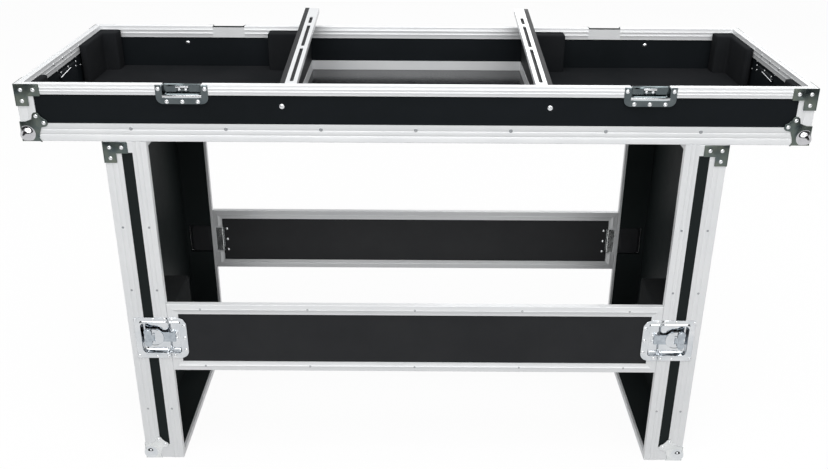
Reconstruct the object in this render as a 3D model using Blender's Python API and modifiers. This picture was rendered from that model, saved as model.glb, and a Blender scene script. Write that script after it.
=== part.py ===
# A console case for two players and a mixer, standing on the two halves of its own lid.
# The tray holds three bays. Each lid half stands on end as a leg, open side inwards, and two
# boards between the legs are clamped by the lid's own butterfly latches.
# Metres, +Z up, +Y to the rear. The origin is on the floor, under the middle of the case.
import math

import bmesh
import bpy
from mathutils import Matrix, Vector

# The case
CASE_WIDTH = 1.480
CASE_DEPTH = 0.492
TRAY_HEIGHT = 0.111
LID_LENGTH = 0.738  # one lid half, which stands on end: the height of a leg
LID_THICKNESS = 0.082  # the width of a leg from the front
LEG_INSET = 0.149  # from the end of the case to the outer face of a leg

# Stock
PLY = 0.009
SHEET = 0.0015  # aluminium angle
STEEL = 0.0012  # pressed hardware
EDGE_STEP = 0.0006  # the rim stands this far proud of the angle below it
GAP = 0.0003  # between pieces that touch
HAIR = 0.0001  # keeps two faces of one pressing out of the same plane

# Aluminium edging of the tray
RIM_DROP = 0.020
RIM_TOP = 0.0028
RIM_INNER_DROP = 0.026
RIM_NOTCH = 0.003  # cut down behind each keeper
GROOVE_WIDTH = 0.005
GROOVE_DEPTH = 0.0013
BASE_ANGLE = 0.035
BASE_UNDER = 0.030
POST_WIDTH = 0.032

# Aluminium edging of a lid half
LID_OUTER_BAND = 0.033
LID_RIM_BAND = 0.028
LID_SPLIT_BAND = 0.022  # along the end where the two halves meet
LID_END_BAND = 0.035
LID_PANEL_BAND = 0.030
LID_RIM_LIP = 0.006  # turned in behind the rim of the board

# Corner hardware
BALL_RADIUS = 0.016
BALL_INSET = 0.010
CORNER_RISE = 0.005
CORNER_STEEL = 0.0015
LOBE_NEAR = 0.031
LOBE_FAR = 0.044
LOBE_RADIUS = 0.0075
CORNER_FOOT = 0.033
FOLD = 0.004
BRACKET_LONG = 0.046
BRACKET_TALL = 0.042
BRACKET_ARM = 0.023

# Mixer bay
RACK_SLOTS = 0.465  # between the slot centres of the two rails
RAIL_WIDTH = 0.022
RAIL_SHEET = 0.002
RAIL_SIDE = 0.020
RAIL_LIP = 0.010
RAIL_PITCH = 0.0952  # rise for each metre towards the rear
RAIL_BELOW_RIM = 0.001
SLOT_WIDTH = 0.007
SLOTS = ((0.012, 0.196), (0.208, 0.342), (0.356, 0.400))  # start and end along the rail
TRIM_HEIGHT = 0.021
TRIM_SHEET = 0.002

# Padding
MAT = 0.008
PAD_BELOW_RIM = 0.008
CORNER_PAD_SIDE = 0.016
CORNER_PAD_WIDTH = 0.047
CORNER_PAD_DEPTH = 0.040
REAR_PAD_LENGTH = 0.155
FRONT_PAD_LENGTH = 0.080
INNER_PAD_WIDTH = 0.084
LEG_PAD_TOP = 0.338
LEG_PAD_HEIGHT = 0.100
LEG_PAD_DEPTH = 0.212
LEG_PAD_SETBACK = 0.006

# Butterfly latch: u runs from the leg to the board, n points out of the wall
LATCH_FROM_END = 0.308  # latch centre from the outer end of the lid
LATCH_WIDTH = 0.100
LATCH_BODY = 0.073
KEEPER_LENGTH = 0.037
KEEPER_ROUND = 0.018
PAN_HALF = 0.035
PAN_DEPTH = 0.0090
PAN_START = 0.062
PAN_END = 0.024
PAN_ROUND = 0.008
PAN_TAPER = 0.002
SPINDLE_AT = 0.033
SPINDLE_RADIUS = 0.005
CAM_RADIUS = 0.0085
CAM_THROW = 0.004
CAM_CLEAR = 0.001
HEAD_RADIUS = 0.010
HOOK_SHEET = 0.0015
HOOK_HALF = 0.011
HOOK_FRAME = 0.005
KEEPER_LIP_AT = 0.006
KEEPER_LIP = 0.0025
KEEPER_LIP_HEIGHT = 0.0045
WING_SHEET = 0.0016
WING_HALF = 0.013
WING_REACH = 0.0115
WING_LOBE = 0.0085
WING_NECK = 0.007
BARREL_RADIUS = 0.0014
LUG_THICKNESS = 0.0025

# Boards between the legs
BOARD_HEIGHT = 0.158
BOARD_TRIM = 0.022
BACK_HOLE_START = 0.004  # behind each keeper
BACK_HOLE_END = 0.025
BACK_HOLE_HALF = 0.032

# Handle in each end wall
HANDLE_PLATE = (0.124, 0.074)
HANDLE_PAN = (0.098, 0.052)
HANDLE_DEPTH = 0.014
HANDLE_BELOW_RIM = 0.0585
BAIL_ROD = 0.0035
BAIL_SPAN = 0.080
BAIL_DROP = 0.034
BAIL_SEAT = 0.006

ROUND = 32  # sides of a turned piece
REACH = 0.05  # how far a cutter runs past what it cuts

half_x = CASE_WIDTH / 2
half_y = CASE_DEPTH / 2
tray_bottom = LID_LENGTH + GAP
tray_top = tray_bottom + TRAY_HEIGHT
ply_inset = EDGE_STEP + SHEET + GAP
rim_sheet = EDGE_STEP + SHEET
floor_low = tray_bottom + SHEET + GAP
floor_top = floor_low + PLY
wall_top = tray_top - RIM_TOP - GAP
long_wall_face = half_y - ply_inset - PLY
end_wall_face = half_x - ply_inset - PLY
rim_width = ply_inset + PLY + GAP + SHEET
rim_inner_y = half_y - rim_width
rim_inner_x = half_x - rim_width
divider_inner = (RACK_SLOTS + RAIL_WIDTH) / 2 + GAP
divider_outer = divider_inner + PLY
leg_outer = half_x - LEG_INSET
leg_inner = leg_outer - LID_THICKNESS
lid_inset = SHEET + GAP
lid_ring = lid_inset + PLY + GAP + SHEET
latch_x = half_x - LATCH_FROM_END
board_centre = LATCH_FROM_END
board_low = board_centre - BOARD_HEIGHT / 2
board_high = board_centre + BOARD_HEIGHT / 2
board_half = leg_inner - GAP
board_thick = 2 * (SHEET + GAP) + PLY
plate_base = GAP  # pressed plates start this far out of the wall
recess_depth = PAN_DEPTH + STEEL + GAP
keeper_recess = PAN_END + STEEL + GAP


def clear_scene():
    for item in list(bpy.data.objects):
        bpy.data.objects.remove(item, do_unlink=True)
    for group in list(bpy.data.collections):
        bpy.data.collections.remove(group)


def new_collection(name):
    group = bpy.data.collections.new(name)
    bpy.context.scene.collection.children.link(group)
    return group


clear_scene()
case = new_collection("dj_console_case_with_table")
cutters = new_collection("cutters")
cutters.hide_render = True


def material(name, colour, roughness, metallic=0.0):
    made = bpy.data.materials.new(name)
    made.use_nodes = True
    surface = made.node_tree.nodes["Principled BSDF"]
    surface.inputs["Base Color"].default_value = (*colour, 1.0)
    surface.inputs["Roughness"].default_value = roughness
    surface.inputs["Metallic"].default_value = metallic
    made.diffuse_color = (*colour, 1.0)
    return made


def laminate(name):
    return material(name + "_laminate", (0.012, 0.014, 0.018), 0.35)


def charcoal(name):
    return material(name + "_charcoal", (0.030, 0.032, 0.034), 0.5)


def aluminium(name):
    return material(name + "_aluminium", (0.78, 0.80, 0.82), 0.3, 1.0)


def plated(name):
    return material(name + "_plated", (0.55, 0.57, 0.58), 0.18, 1.0)


def foam(name):
    return material(name + "_foam", (0.022, 0.022, 0.024), 0.95)


# Tools that make meshes


def mesh_of(bm, name):
    bmesh.ops.recalc_face_normals(bm, faces=bm.faces)
    mesh = bpy.data.meshes.new(name)
    bm.to_mesh(mesh)
    bm.free()
    return mesh


def box_mesh(low, high):
    bm = bmesh.new()
    bmesh.ops.create_cube(bm, size=1.0)
    bmesh.ops.scale(bm, vec=Vector(high) - Vector(low), verts=bm.verts)
    bmesh.ops.translate(bm, vec=(Vector(high) + Vector(low)) / 2, verts=bm.verts)
    return mesh_of(bm, "box")


def outline_mesh(points, low, high):
    """A closed outline in the XY plane, filled and extruded from low to high."""
    curve = bpy.data.curves.new("outline", "CURVE")
    curve.dimensions = "2D"
    curve.fill_mode = "BOTH"
    curve.extrude = (high - low) / 2
    spline = curve.splines.new("POLY")
    spline.points.add(len(points) - 1)
    for point, (x, y) in zip(spline.points, points):
        point.co = (x, y, 0.0, 1.0)
    spline.use_cyclic_u = True
    guide = bpy.data.objects.new("outline", curve)
    bpy.context.scene.collection.objects.link(guide)
    mesh = bpy.data.meshes.new_from_object(guide.evaluated_get(bpy.context.evaluated_depsgraph_get()))
    bpy.data.objects.remove(guide)
    bm = bmesh.new()
    bm.from_mesh(mesh)
    bmesh.ops.remove_doubles(bm, verts=bm.verts, dist=1e-6)
    bmesh.ops.translate(bm, vec=(0, 0, (high + low) / 2), verts=bm.verts)
    return mesh_of(bm, "outline")


def disc_mesh(radius, low, high, centre=(0.0, 0.0), sides=ROUND):
    bm = bmesh.new()
    bmesh.ops.create_cone(bm, cap_ends=True, segments=sides, radius1=radius, radius2=radius, depth=high - low)
    bmesh.ops.translate(bm, vec=(*centre, (high + low) / 2), verts=bm.verts)
    return mesh_of(bm, "disc")


def ball_mesh(radius, centre):
    bm = bmesh.new()
    bmesh.ops.create_uvsphere(bm, u_segments=24, v_segments=14, radius=radius)
    bmesh.ops.translate(bm, vec=centre, verts=bm.verts)
    return mesh_of(bm, "ball")


def tub_mesh(low, high, taper, radius, floor_round):
    """A box that narrows downwards, with rounded upright corners and floor edges."""
    bm = bmesh.new()
    bmesh.ops.create_cube(bm, size=1.0)
    bmesh.ops.scale(bm, vec=Vector(high) - Vector(low), verts=bm.verts)
    middle = (Vector(high) + Vector(low)) / 2
    for vert in bm.verts:
        if vert.co.z < 0:
            vert.co.x -= math.copysign(taper, vert.co.x)
            vert.co.y -= math.copysign(taper, vert.co.y)
    upright = [e for e in bm.edges if abs(e.verts[0].co.z - e.verts[1].co.z) > 1e-6]
    bmesh.ops.bevel(bm, geom=upright, offset=radius, segments=4, profile=0.5, affect="EDGES")
    floor = [e for e in bm.edges if all(v.co.z < 0 for v in e.verts) and len(e.link_faces) == 2]
    floor = [e for e in floor if any(f.normal.z < -0.9 for f in e.link_faces)]
    bmesh.ops.bevel(bm, geom=floor, offset=floor_round, segments=2, profile=0.5, affect="EDGES")
    bmesh.ops.translate(bm, vec=middle, verts=bm.verts)
    return mesh_of(bm, "tub")


def mitred_frame_mesh(half_a, half_b, section):
    """Sweeps a section round a rectangle, with a mitre at each corner.

    Each point of the section is its inset on the ends, its inset on the long sides, and its height.
    """
    bm = bmesh.new()
    rings = []
    for side_a, side_b in ((1, 1), (-1, 1), (-1, -1), (1, -1)):
        corner = [(side_a * (half_a - a), side_b * (half_b - b), z) for a, b, z in section]
        rings.append([bm.verts.new(point) for point in corner])
    count = len(section)
    for ring, following in zip(rings, rings[1:] + rings[:1]):
        for i in range(count):
            j = (i + 1) % count
            bm.faces.new((ring[i], ring[j], following[j], following[i]))
    return mesh_of(bm, "frame")


def box_skin_mesh(low, high, cuts, is_open):
    """The outer faces of a box, scored at the given planes, less those that is_open names."""
    bm = bmesh.new()
    bmesh.ops.create_cube(bm, size=1.0)
    bmesh.ops.scale(bm, vec=Vector(high) - Vector(low), verts=bm.verts)
    bmesh.ops.translate(bm, vec=(Vector(high) + Vector(low)) / 2, verts=bm.verts)
    for axis, places in enumerate(cuts):
        normal = Vector((0, 0, 0))
        normal[axis] = 1.0
        for place in places:
            everything = bm.verts[:] + bm.edges[:] + bm.faces[:]
            bmesh.ops.bisect_plane(bm, geom=everything, plane_co=normal * place, plane_no=normal)
    bm.normal_update()
    gone = [f for f in bm.faces if is_open(f.calc_center_median(), f.normal)]
    bmesh.ops.delete(bm, geom=gone, context="FACES")
    return bm


def arc(centre, radius, start, end, steps):
    """Points along an arc, with the angles in degrees."""
    points = []
    for i in range(steps + 1):
        angle = math.radians(start + (end - start) * i / steps)
        points.append((centre[0] + radius * math.cos(angle), centre[1] + radius * math.sin(angle)))
    return points


# Tools that make and change objects


def add(name, mesh, coat, matrix=None):
    made = bpy.data.objects.new(name, mesh)
    case.objects.link(made)
    if coat is not None and not mesh.materials:
        mesh.materials.append(coat)
    if matrix is not None:
        made.matrix_world = matrix
    return made


def tool(mesh, matrix=None):
    made = bpy.data.objects.new("cutter", mesh)
    cutters.objects.link(made)
    made.hide_render = True
    made.display_type = "WIRE"
    if matrix is not None:
        made.matrix_world = matrix
    return made


def combine(target, operation, other):
    step = target.modifiers.new(operation.lower(), "BOOLEAN")
    step.operation = operation
    step.object = other


def cut(target, *others):
    for other in others:
        combine(target, "DIFFERENCE", other)


def join(target, *others):
    for other in others:
        combine(target, "UNION", other)


def settled(target, name):
    """The mesh of an object with its modifiers worked in, once the object itself is gone."""
    bpy.context.view_layer.update()
    mesh = bpy.data.meshes.new_from_object(target.evaluated_get(bpy.context.evaluated_depsgraph_get()))
    mesh.name = name
    bpy.data.objects.remove(target)
    return mesh


def smooth(mesh, angle=35):
    mesh.shade_smooth()
    mesh.set_sharp_from_angle(angle=math.radians(angle))


def hardware_frame(origin, along, out):
    """A frame at the joint line of a latch: u along, n out of the wall, v square to both."""
    u = Vector(along)
    n = Vector(out)
    v = n.cross(u)
    turn = Matrix((u, v, n)).transposed().to_4x4()
    return Matrix.Translation(origin) @ turn


# Corner hardware, drawn for the corner at +X, +Y and the underside


def corner_plate_points(edge, low):
    """Outline of one face of a ball corner. It runs past the case's edge, and down to low."""
    near, far, lobe = LOBE_NEAR, LOBE_FAR, LOBE_RADIUS
    points = [(edge, low), (CORNER_FOOT, low), (CORNER_FOOT + 0.002, 0.010), (far - 0.005, near - 0.010)]
    points += arc((far, near), lobe, -60, 75, 6)
    points += arc((near, far), lobe, 15, 150, 6)
    points += [(near - 0.010, far - 0.005), (0.010, CORNER_FOOT + 0.002), (edge, CORNER_FOOT)]
    return points


def bracket_points(edge):
    """Outline of one face of an L-shaped corner bracket, from past its corner inwards and down."""
    return [
        (edge, 0.0),
        (BRACKET_LONG, 0.0),
        (BRACKET_LONG, BRACKET_ARM),
        (BRACKET_ARM, BRACKET_ARM),
        (BRACKET_ARM, BRACKET_TALL),
        (edge, BRACKET_TALL),
    ]


def face_plates(points, outer, rise, upward):
    """The same outline on the +Y face and on the +X face of a corner at the origin."""
    sign = 1 if upward else -1
    body = outline_mesh(points, -FOLD, outer)
    on_y = Matrix(((-1, 0, 0, 0), (0, 0, 1, 0), (0, sign, 0, rise), (0, 0, 0, 1)))
    on_x = Matrix(((0, 0, 1, 0), (-1, 0, 0, 0), (0, sign, 0, rise - HAIR), (0, 0, 0, 1)))
    return [tool(baked(body, on_y)), tool(baked(body, on_x))]


def baked(mesh, matrix):
    """A copy of a mesh with a matrix worked in, its faces still pointing out."""
    bm = bmesh.new()
    bm.from_mesh(mesh)
    bmesh.ops.transform(bm, matrix=matrix, verts=bm.verts)
    return mesh_of(bm, mesh.name)


def ball_corner_mesh(seat, with_foot):
    """A steel ball corner, with a plate on each face that it meets."""
    outer = seat + CORNER_STEEL
    edge = HAIR - outer
    centre = (-BALL_INSET, -BALL_INSET, BALL_INSET + CORNER_RISE)
    ball = tool(ball_mesh(BALL_RADIUS, centre))
    join(ball, *face_plates(corner_plate_points(edge, edge - CORNER_RISE), outer, CORNER_RISE, True))
    if with_foot:
        foot = [(-a, -b) for a, b in corner_plate_points(edge + HAIR, edge + HAIR)]
        join(ball, tool(outline_mesh(foot, -outer, FOLD)))
    deep = 2 * REACH
    cut(ball, tool(box_mesh((-deep, -deep, -seat), (seat, seat, deep))))
    if not with_foot:
        cut(ball, tool(box_mesh((-deep, -deep, -deep), (deep, deep, 0.0))))
    mesh = settled(ball, "ball_corner")
    smooth(mesh)
    return mesh


def bracket_mesh(seat):
    """A steel corner bracket, folded round the corner below the top at the origin."""
    outer = seat + CORNER_STEEL
    body, other = face_plates(bracket_points(HAIR - outer), outer, 0.0, False)
    join(body, other)
    deep = 2 * REACH
    cut(body, tool(box_mesh((-deep, -deep, -deep), (seat, seat, deep))))
    return settled(body, "bracket")


def corner_turns(x, y, z):
    """The place and turn of each of the four corners, with its name."""
    return (
        ("rear_right", Matrix.Translation((x, y, z))),
        ("rear_left", Matrix.Translation((-x, y, z)) @ Matrix.Rotation(math.radians(90), 4, "Z")),
        ("front_left", Matrix.Translation((-x, -y, z)) @ Matrix.Rotation(math.radians(180), 4, "Z")),
        ("front_right", Matrix.Translation((x, -y, z)) @ Matrix.Rotation(math.radians(270), 4, "Z")),
    )


# Latch hardware, drawn in the frame u, v, n with the joint line at u = 0


def recess_cutter(matrix, start, end, depth=None):
    """Clears the wall for a pan, a little wider than the steel itself."""
    side = PAN_HALF + STEEL + GAP
    low = -recess_depth if depth is None else -depth
    return tool(box_mesh((start, -side, low), (end, side, REACH)), matrix)


def latch_dish_mesh():
    plate = tool(box_mesh((-LATCH_BODY, -LATCH_WIDTH / 2, plate_base), (-GAP, LATCH_WIDTH / 2, plate_base + STEEL)))
    outer_low = (-PAN_START - STEEL, -PAN_HALF - STEEL, -PAN_DEPTH - STEEL)
    tub = tub_mesh(outer_low, (0.030, PAN_HALF + STEEL, plate_base + STEEL / 2), PAN_TAPER, PAN_ROUND, 0.002)
    join(plate, tool(tub))
    past = box_mesh((-GAP, -0.1, -0.1), (0.1, 0.1, 0.1))
    well = tub_mesh((-PAN_START, -PAN_HALF, -PAN_DEPTH), (0.040, PAN_HALF, 0.01), PAN_TAPER, PAN_ROUND, 0.002)
    cut(plate, tool(past), tool(well))
    mesh = settled(plate, "latch_dish")
    smooth(mesh)
    return mesh


def keeper_points():
    """Outline of the keeper's plate, with its two far corners rounded."""
    half = LATCH_WIDTH / 2
    side = half - KEEPER_ROUND
    far = KEEPER_LENGTH - KEEPER_ROUND
    points = [(GAP, -half)]
    points += arc((far, -side), KEEPER_ROUND, -90, 0, 6)
    points += arc((far, side), KEEPER_ROUND, 0, 90, 6)
    points += [(GAP, half)]
    return points


def keeper_mesh():
    plate = tool(outline_mesh(keeper_points(), plate_base, plate_base + STEEL))
    outer_high = (PAN_END + STEEL, PAN_HALF + STEEL, plate_base + STEEL / 2)
    tub = tub_mesh((-0.030, -PAN_HALF - STEEL, -PAN_DEPTH - STEEL), outer_high, PAN_TAPER, PAN_ROUND, 0.002)
    join(plate, tool(tub))
    past = box_mesh((-0.1, -0.1, -0.1), (GAP, 0.1, 0.1))
    well = tub_mesh((-0.040, -PAN_HALF, -PAN_DEPTH), (PAN_END, PAN_HALF, 0.01), PAN_TAPER, PAN_ROUND, 0.002)
    cut(plate, tool(past), tool(well))
    floor = -PAN_DEPTH
    lip_end = KEEPER_LIP_AT + KEEPER_LIP
    strap = box_mesh(
        (KEEPER_LIP_AT, -HOOK_HALF - 0.001, floor - STEEL / 2), (PAN_END - 0.005, HOOK_HALF + 0.001, floor + STEEL)
    )
    lip = box_mesh(
        (KEEPER_LIP_AT, -HOOK_HALF - 0.001, floor), (lip_end, HOOK_HALF + 0.001, floor + KEEPER_LIP_HEIGHT)
    )
    join(plate, tool(strap), tool(lip))
    mesh = settled(plate, "keeper")
    smooth(mesh)
    return mesh


# Heights above the wall of what turns and slides in the pan
hook_low = -PAN_DEPTH + KEEPER_LIP_HEIGHT + GAP
hook_high = hook_low + HOOK_SHEET
cam_low = hook_low - GAP
cam_high = hook_high + GAP
head_high = cam_high + 0.001
barrel_axis = head_high + GAP + BARREL_RADIUS
lug_high = barrel_axis + BARREL_RADIUS


def spindle_mesh():
    """The post on the floor of the pan, its offset cam, and the head with two lugs."""
    post = tool(disc_mesh(SPINDLE_RADIUS, -PAN_DEPTH + GAP, cam_low + 0.0002))
    cam = disc_mesh(CAM_RADIUS, cam_low, cam_high, (-CAM_THROW, 0.0))
    head = disc_mesh(HEAD_RADIUS, cam_high - 0.0002, head_high)
    lugs = []
    for side in (-1, 1):
        near = side * (WING_NECK + GAP)
        away = side * (WING_NECK + GAP + LUG_THICKNESS)
        low, high = sorted((near, away))
        lugs.append(box_mesh((-0.0022, low, head_high - 0.0002), (0.0022, high, lug_high)))
    join(post, tool(cam), tool(head), *[tool(mesh) for mesh in lugs])
    mesh = settled(post, "spindle")
    smooth(mesh)
    return mesh


def wing_points():
    """Outline of the folding wing, whose pin lies along v at u = 0."""
    near = -LUG_THICKNESS - 0.0012
    lobe = (-WING_REACH, WING_HALF)
    points = [(0.0, -WING_NECK), (0.0, WING_NECK), (near, WING_NECK)]
    points += [(near, WING_HALF)]
    points += arc(lobe, WING_LOBE, 60, 190, 7)
    points += [(-WING_REACH - WING_LOBE + 0.003, 0.0)]
    points += [(x, -y) for x, y in reversed(arc(lobe, WING_LOBE, 60, 190, 7))]
    points += [(near, -WING_HALF), (near, -WING_NECK)]
    return points


def wing_mesh():
    middle = barrel_axis
    leaf = tool(outline_mesh(wing_points(), middle - WING_SHEET / 2, middle + WING_SHEET / 2))
    barrel = disc_mesh(BARREL_RADIUS, -WING_NECK, WING_NECK, sides=16)
    along_v = Matrix.Translation((0, 0, middle)) @ Matrix.Rotation(math.radians(90), 4, "X")
    join(leaf, tool(baked(barrel, along_v)))
    mesh = settled(leaf, "wing")
    smooth(mesh)
    return mesh


def hook_mesh():
    """The sliding plate, with the slot that the cam turns in and the claw at its end."""
    middle = -SPINDLE_AT - CAM_THROW
    slot_u = CAM_RADIUS + CAM_CLEAR
    slot_v = CAM_RADIUS + CAM_THROW + CAM_CLEAR
    claw = KEEPER_LIP_AT + KEEPER_LIP + GAP
    end = claw + 0.0022
    wide = slot_v + HOOK_FRAME
    shoulder = middle + slot_u + HOOK_FRAME
    points = [(middle - slot_u - HOOK_FRAME, -wide), (shoulder, -wide), (shoulder + 0.007, -HOOK_HALF)]
    points += [(end, -HOOK_HALF), (end, HOOK_HALF), (shoulder + 0.007, HOOK_HALF)]
    points += [(shoulder, wide), (middle - slot_u - HOOK_FRAME, wide)]
    plate = tool(outline_mesh(points, hook_low, hook_high))
    claw_low = -PAN_DEPTH + STEEL + GAP
    join(plate, tool(box_mesh((claw, -HOOK_HALF, claw_low), (end, HOOK_HALF, hook_low + 0.0005))))
    slot = arc((middle, slot_v - slot_u), slot_u, 0, 180, 8)
    slot += arc((middle, slot_u - slot_v), slot_u, 180, 360, 8)
    cut(plate, tool(outline_mesh(slot, hook_low - 0.01, hook_high + 0.01)))
    return settled(plate, "hook")


# The tray


def rim_notches():
    side = PAN_HALF + STEEL + GAP
    cut_out = box_mesh((-REACH, -side, -REACH), (RIM_NOTCH, side, REACH))
    return [tool(cut_out, matrix) for _, matrix in tray_keeper_frames()]


def make_tray_boards():
    recesses = [recess_cutter(matrix, -REACH, keeper_recess) for _, matrix in tray_keeper_frames()]
    recesses += rim_notches()
    for name, side in (("front", -1), ("rear", 1)):
        low, high = sorted((side * (half_y - ply_inset), side * long_wall_face))
        reach = half_x - ply_inset
        mesh = box_mesh((-reach, low, floor_low), (reach, high, wall_top))
        wall = add(f"tray_{name}_wall", mesh, laminate(f"tray_{name}_wall"))
        cut(wall, *recesses)
    reach = long_wall_face - GAP
    for name, side in (("left", -1), ("right", 1)):
        low, high = sorted((side * (half_x - ply_inset), side * end_wall_face))
        mesh = box_mesh((low, -reach, floor_low), (high, reach, wall_top))
        wall = add(f"tray_{name}_wall", mesh, laminate(f"tray_{name}_wall"))
        cut(wall, handle_cutter(side))
    reach_x = end_wall_face - GAP
    mesh = box_mesh((-reach_x, -reach, floor_low), (reach_x, reach, floor_top))
    add("tray_floor", mesh, laminate("tray_floor"))


def rim_section():
    """A channel over the top of the walls, as insets from the outer face, and heights."""
    groove = (rim_width - GROOVE_WIDTH) / 2
    rows = [
        (0.0, -RIM_DROP),
        (0.0, 0.0),
        (groove, 0.0),
        (groove, -GROOVE_DEPTH),
        (groove + GROOVE_WIDTH, -GROOVE_DEPTH),
        (groove + GROOVE_WIDTH, 0.0),
        (rim_width, 0.0),
        (rim_width, -RIM_INNER_DROP),
        (rim_width - SHEET, -RIM_INNER_DROP),
        (rim_width - SHEET, -RIM_TOP),
        (rim_sheet, -RIM_TOP),
        (rim_sheet, -RIM_DROP),
    ]
    return [(inset, inset, height) for inset, height in rows]


def make_tray_edging():
    rim = add("tray_rim_frame", mitred_frame_mesh(half_x, half_y, rim_section()), aluminium("tray_rim_frame"))
    rim.location = (0, 0, tray_top)
    bracket = bracket_mesh(-EDGE_STEP / 3)
    join(rim, *[tool(bracket, matrix) for _, matrix in corner_turns(half_x, half_y, tray_top - GAP)])
    cut(rim, *[recess_cutter(matrix, -REACH, REACH) for _, matrix in tray_keeper_frames()])
    cut(rim, *rim_notches())

    x, y = half_x - EDGE_STEP, half_y - EDGE_STEP
    top = tray_top - RIM_DROP - GAP
    window = tray_bottom + BASE_ANGLE

    def is_open(centre, normal):
        if normal.z > 0.5:
            return True
        if normal.z < -0.5:
            return abs(centre.x) < x - BASE_UNDER and abs(centre.y) < y - BASE_UNDER
        along = abs(centre.x) < x - POST_WIDTH if abs(normal.y) > 0.5 else abs(centre.y) < y - POST_WIDTH
        return along and centre.z > window

    scores_x = [side * (x - width) for side in (-1, 1) for width in (POST_WIDTH, BASE_UNDER)]
    scores_y = [side * (y - width) for side in (-1, 1) for width in (POST_WIDTH, BASE_UNDER)]
    bm = box_skin_mesh((-x, -y, tray_bottom), (x, y, top), (scores_x, scores_y, [window]), is_open)
    base = add("tray_base_frame", keep_normals(bm, "base_frame"), aluminium("tray_base_frame"))
    thicken(base, SHEET)
    cut(base, handle_cutter(-1), handle_cutter(1))
    cut(base, *[recess_cutter(matrix, -REACH, keeper_recess) for _, matrix in tray_keeper_frames()])


def keep_normals(bm, name):
    mesh = bpy.data.meshes.new(name)
    bm.to_mesh(mesh)
    bm.free()
    return mesh


def thicken(target, sheet):
    """Gives a skin its thickness, inwards from the outer faces."""
    step = target.modifiers.new("sheet", "SOLIDIFY")
    step.thickness = sheet
    step.offset = -1.0
    step.solidify_mode = "NON_MANIFOLD"
    step.nonmanifold_thickness_mode = "CONSTRAINTS"


def make_tray_corners():
    mesh = ball_corner_mesh(GAP, True)
    x, y = half_x - EDGE_STEP, half_y - EDGE_STEP
    for place, matrix in corner_turns(x, y, tray_bottom):
        name = f"tray_ball_corner_{place}"
        add(name, mesh, plated("ball_corner"), matrix)


def rail_start():
    """Where the top of a rail starts: just behind the front rim, just below its top."""
    return -rim_inner_y + 5 * GAP, tray_top - RAIL_BELOW_RIM


def divider_points():
    """Side view of a divider, in Y and Z."""
    wall = long_wall_face - GAP
    rim = rim_inner_y - GAP
    ledge = tray_top - RIM_INNER_DROP - GAP
    start_y, start_z = rail_start()
    front_z = start_z + (-rim - start_y) * RAIL_PITCH
    rear_z = start_z + (rim - start_y) * RAIL_PITCH
    low = floor_top + GAP
    return [
        (-wall, low), (wall, low), (wall, ledge), (rim, ledge), (rim, rear_z),
        (-rim, front_z), (-rim, ledge), (-wall, ledge),
    ]


def make_mixer_bay():
    to_side = Matrix(((0, 0, 1, 0), (1, 0, 0, 0), (0, 1, 0, 0), (0, 0, 0, 1)))
    for name, side in (("left", -1), ("right", 1)):
        low, high = sorted((side * divider_inner, side * divider_outer))
        mesh = baked(outline_mesh(divider_points(), low, high), to_side)
        add(f"divider_{name}", mesh, charcoal(f"divider_{name}"))
    make_rack_rails()
    outer_x = divider_inner - GAP
    inner_x = outer_x - TRIM_SHEET
    rear = long_wall_face - GAP
    front = -rear
    points = [(-outer_x, front), (-inner_x, front), (-inner_x, rear - TRIM_SHEET), (inner_x, rear - TRIM_SHEET)]
    points += [(inner_x, front), (outer_x, front), (outer_x, rear), (-outer_x, rear)]
    mesh = outline_mesh(points, floor_top + GAP, floor_top + GAP + TRIM_HEIGHT)
    add("mixer_bay_trim", mesh, aluminium("mixer_bay_trim"))


def make_rack_rails():
    """Slotted channels up the dividers. The section is drawn for the right rail, in X and Z."""
    outer = RAIL_WIDTH / 2
    sheet = RAIL_SHEET
    section = [
        (-outer, -RAIL_LIP), (-outer, 0.0), (outer, 0.0), (outer, -RAIL_SIDE),
        (outer - sheet, -RAIL_SIDE), (outer - sheet, -sheet), (sheet - outer, -sheet), (sheet - outer, -RAIL_LIP),
    ]
    start_y, start_z = rail_start()
    slope = math.atan(RAIL_PITCH)
    reach = (rim_inner_y - RAIL_SIDE * math.sin(slope) - 5 * GAP - start_y) / math.cos(slope)
    stand = Matrix(((1, 0, 0, 0), (0, 0, 1, 0), (0, 1, 0, 0), (0, 0, 0, 1)))
    for name, side in (("left", -1), ("right", 1)):
        points = [(side * x, z) for x, z in section]
        mesh = baked(outline_mesh(points, 0.0, reach), stand)
        place = Matrix.Translation((side * RACK_SLOTS / 2, start_y, start_z)) @ Matrix.Rotation(slope, 4, "X")
        rail = add(f"rack_rail_{name}", mesh, aluminium(f"rack_rail_{name}"), place)
        for start, end in SLOTS:
            slot = arc((0.0, end - SLOT_WIDTH / 2), SLOT_WIDTH / 2, 0, 180, 6)
            slot += arc((0.0, start + SLOT_WIDTH / 2), SLOT_WIDTH / 2, 180, 360, 6)
            cut(rail, tool(outline_mesh(slot, -0.008, 0.01), place))


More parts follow.
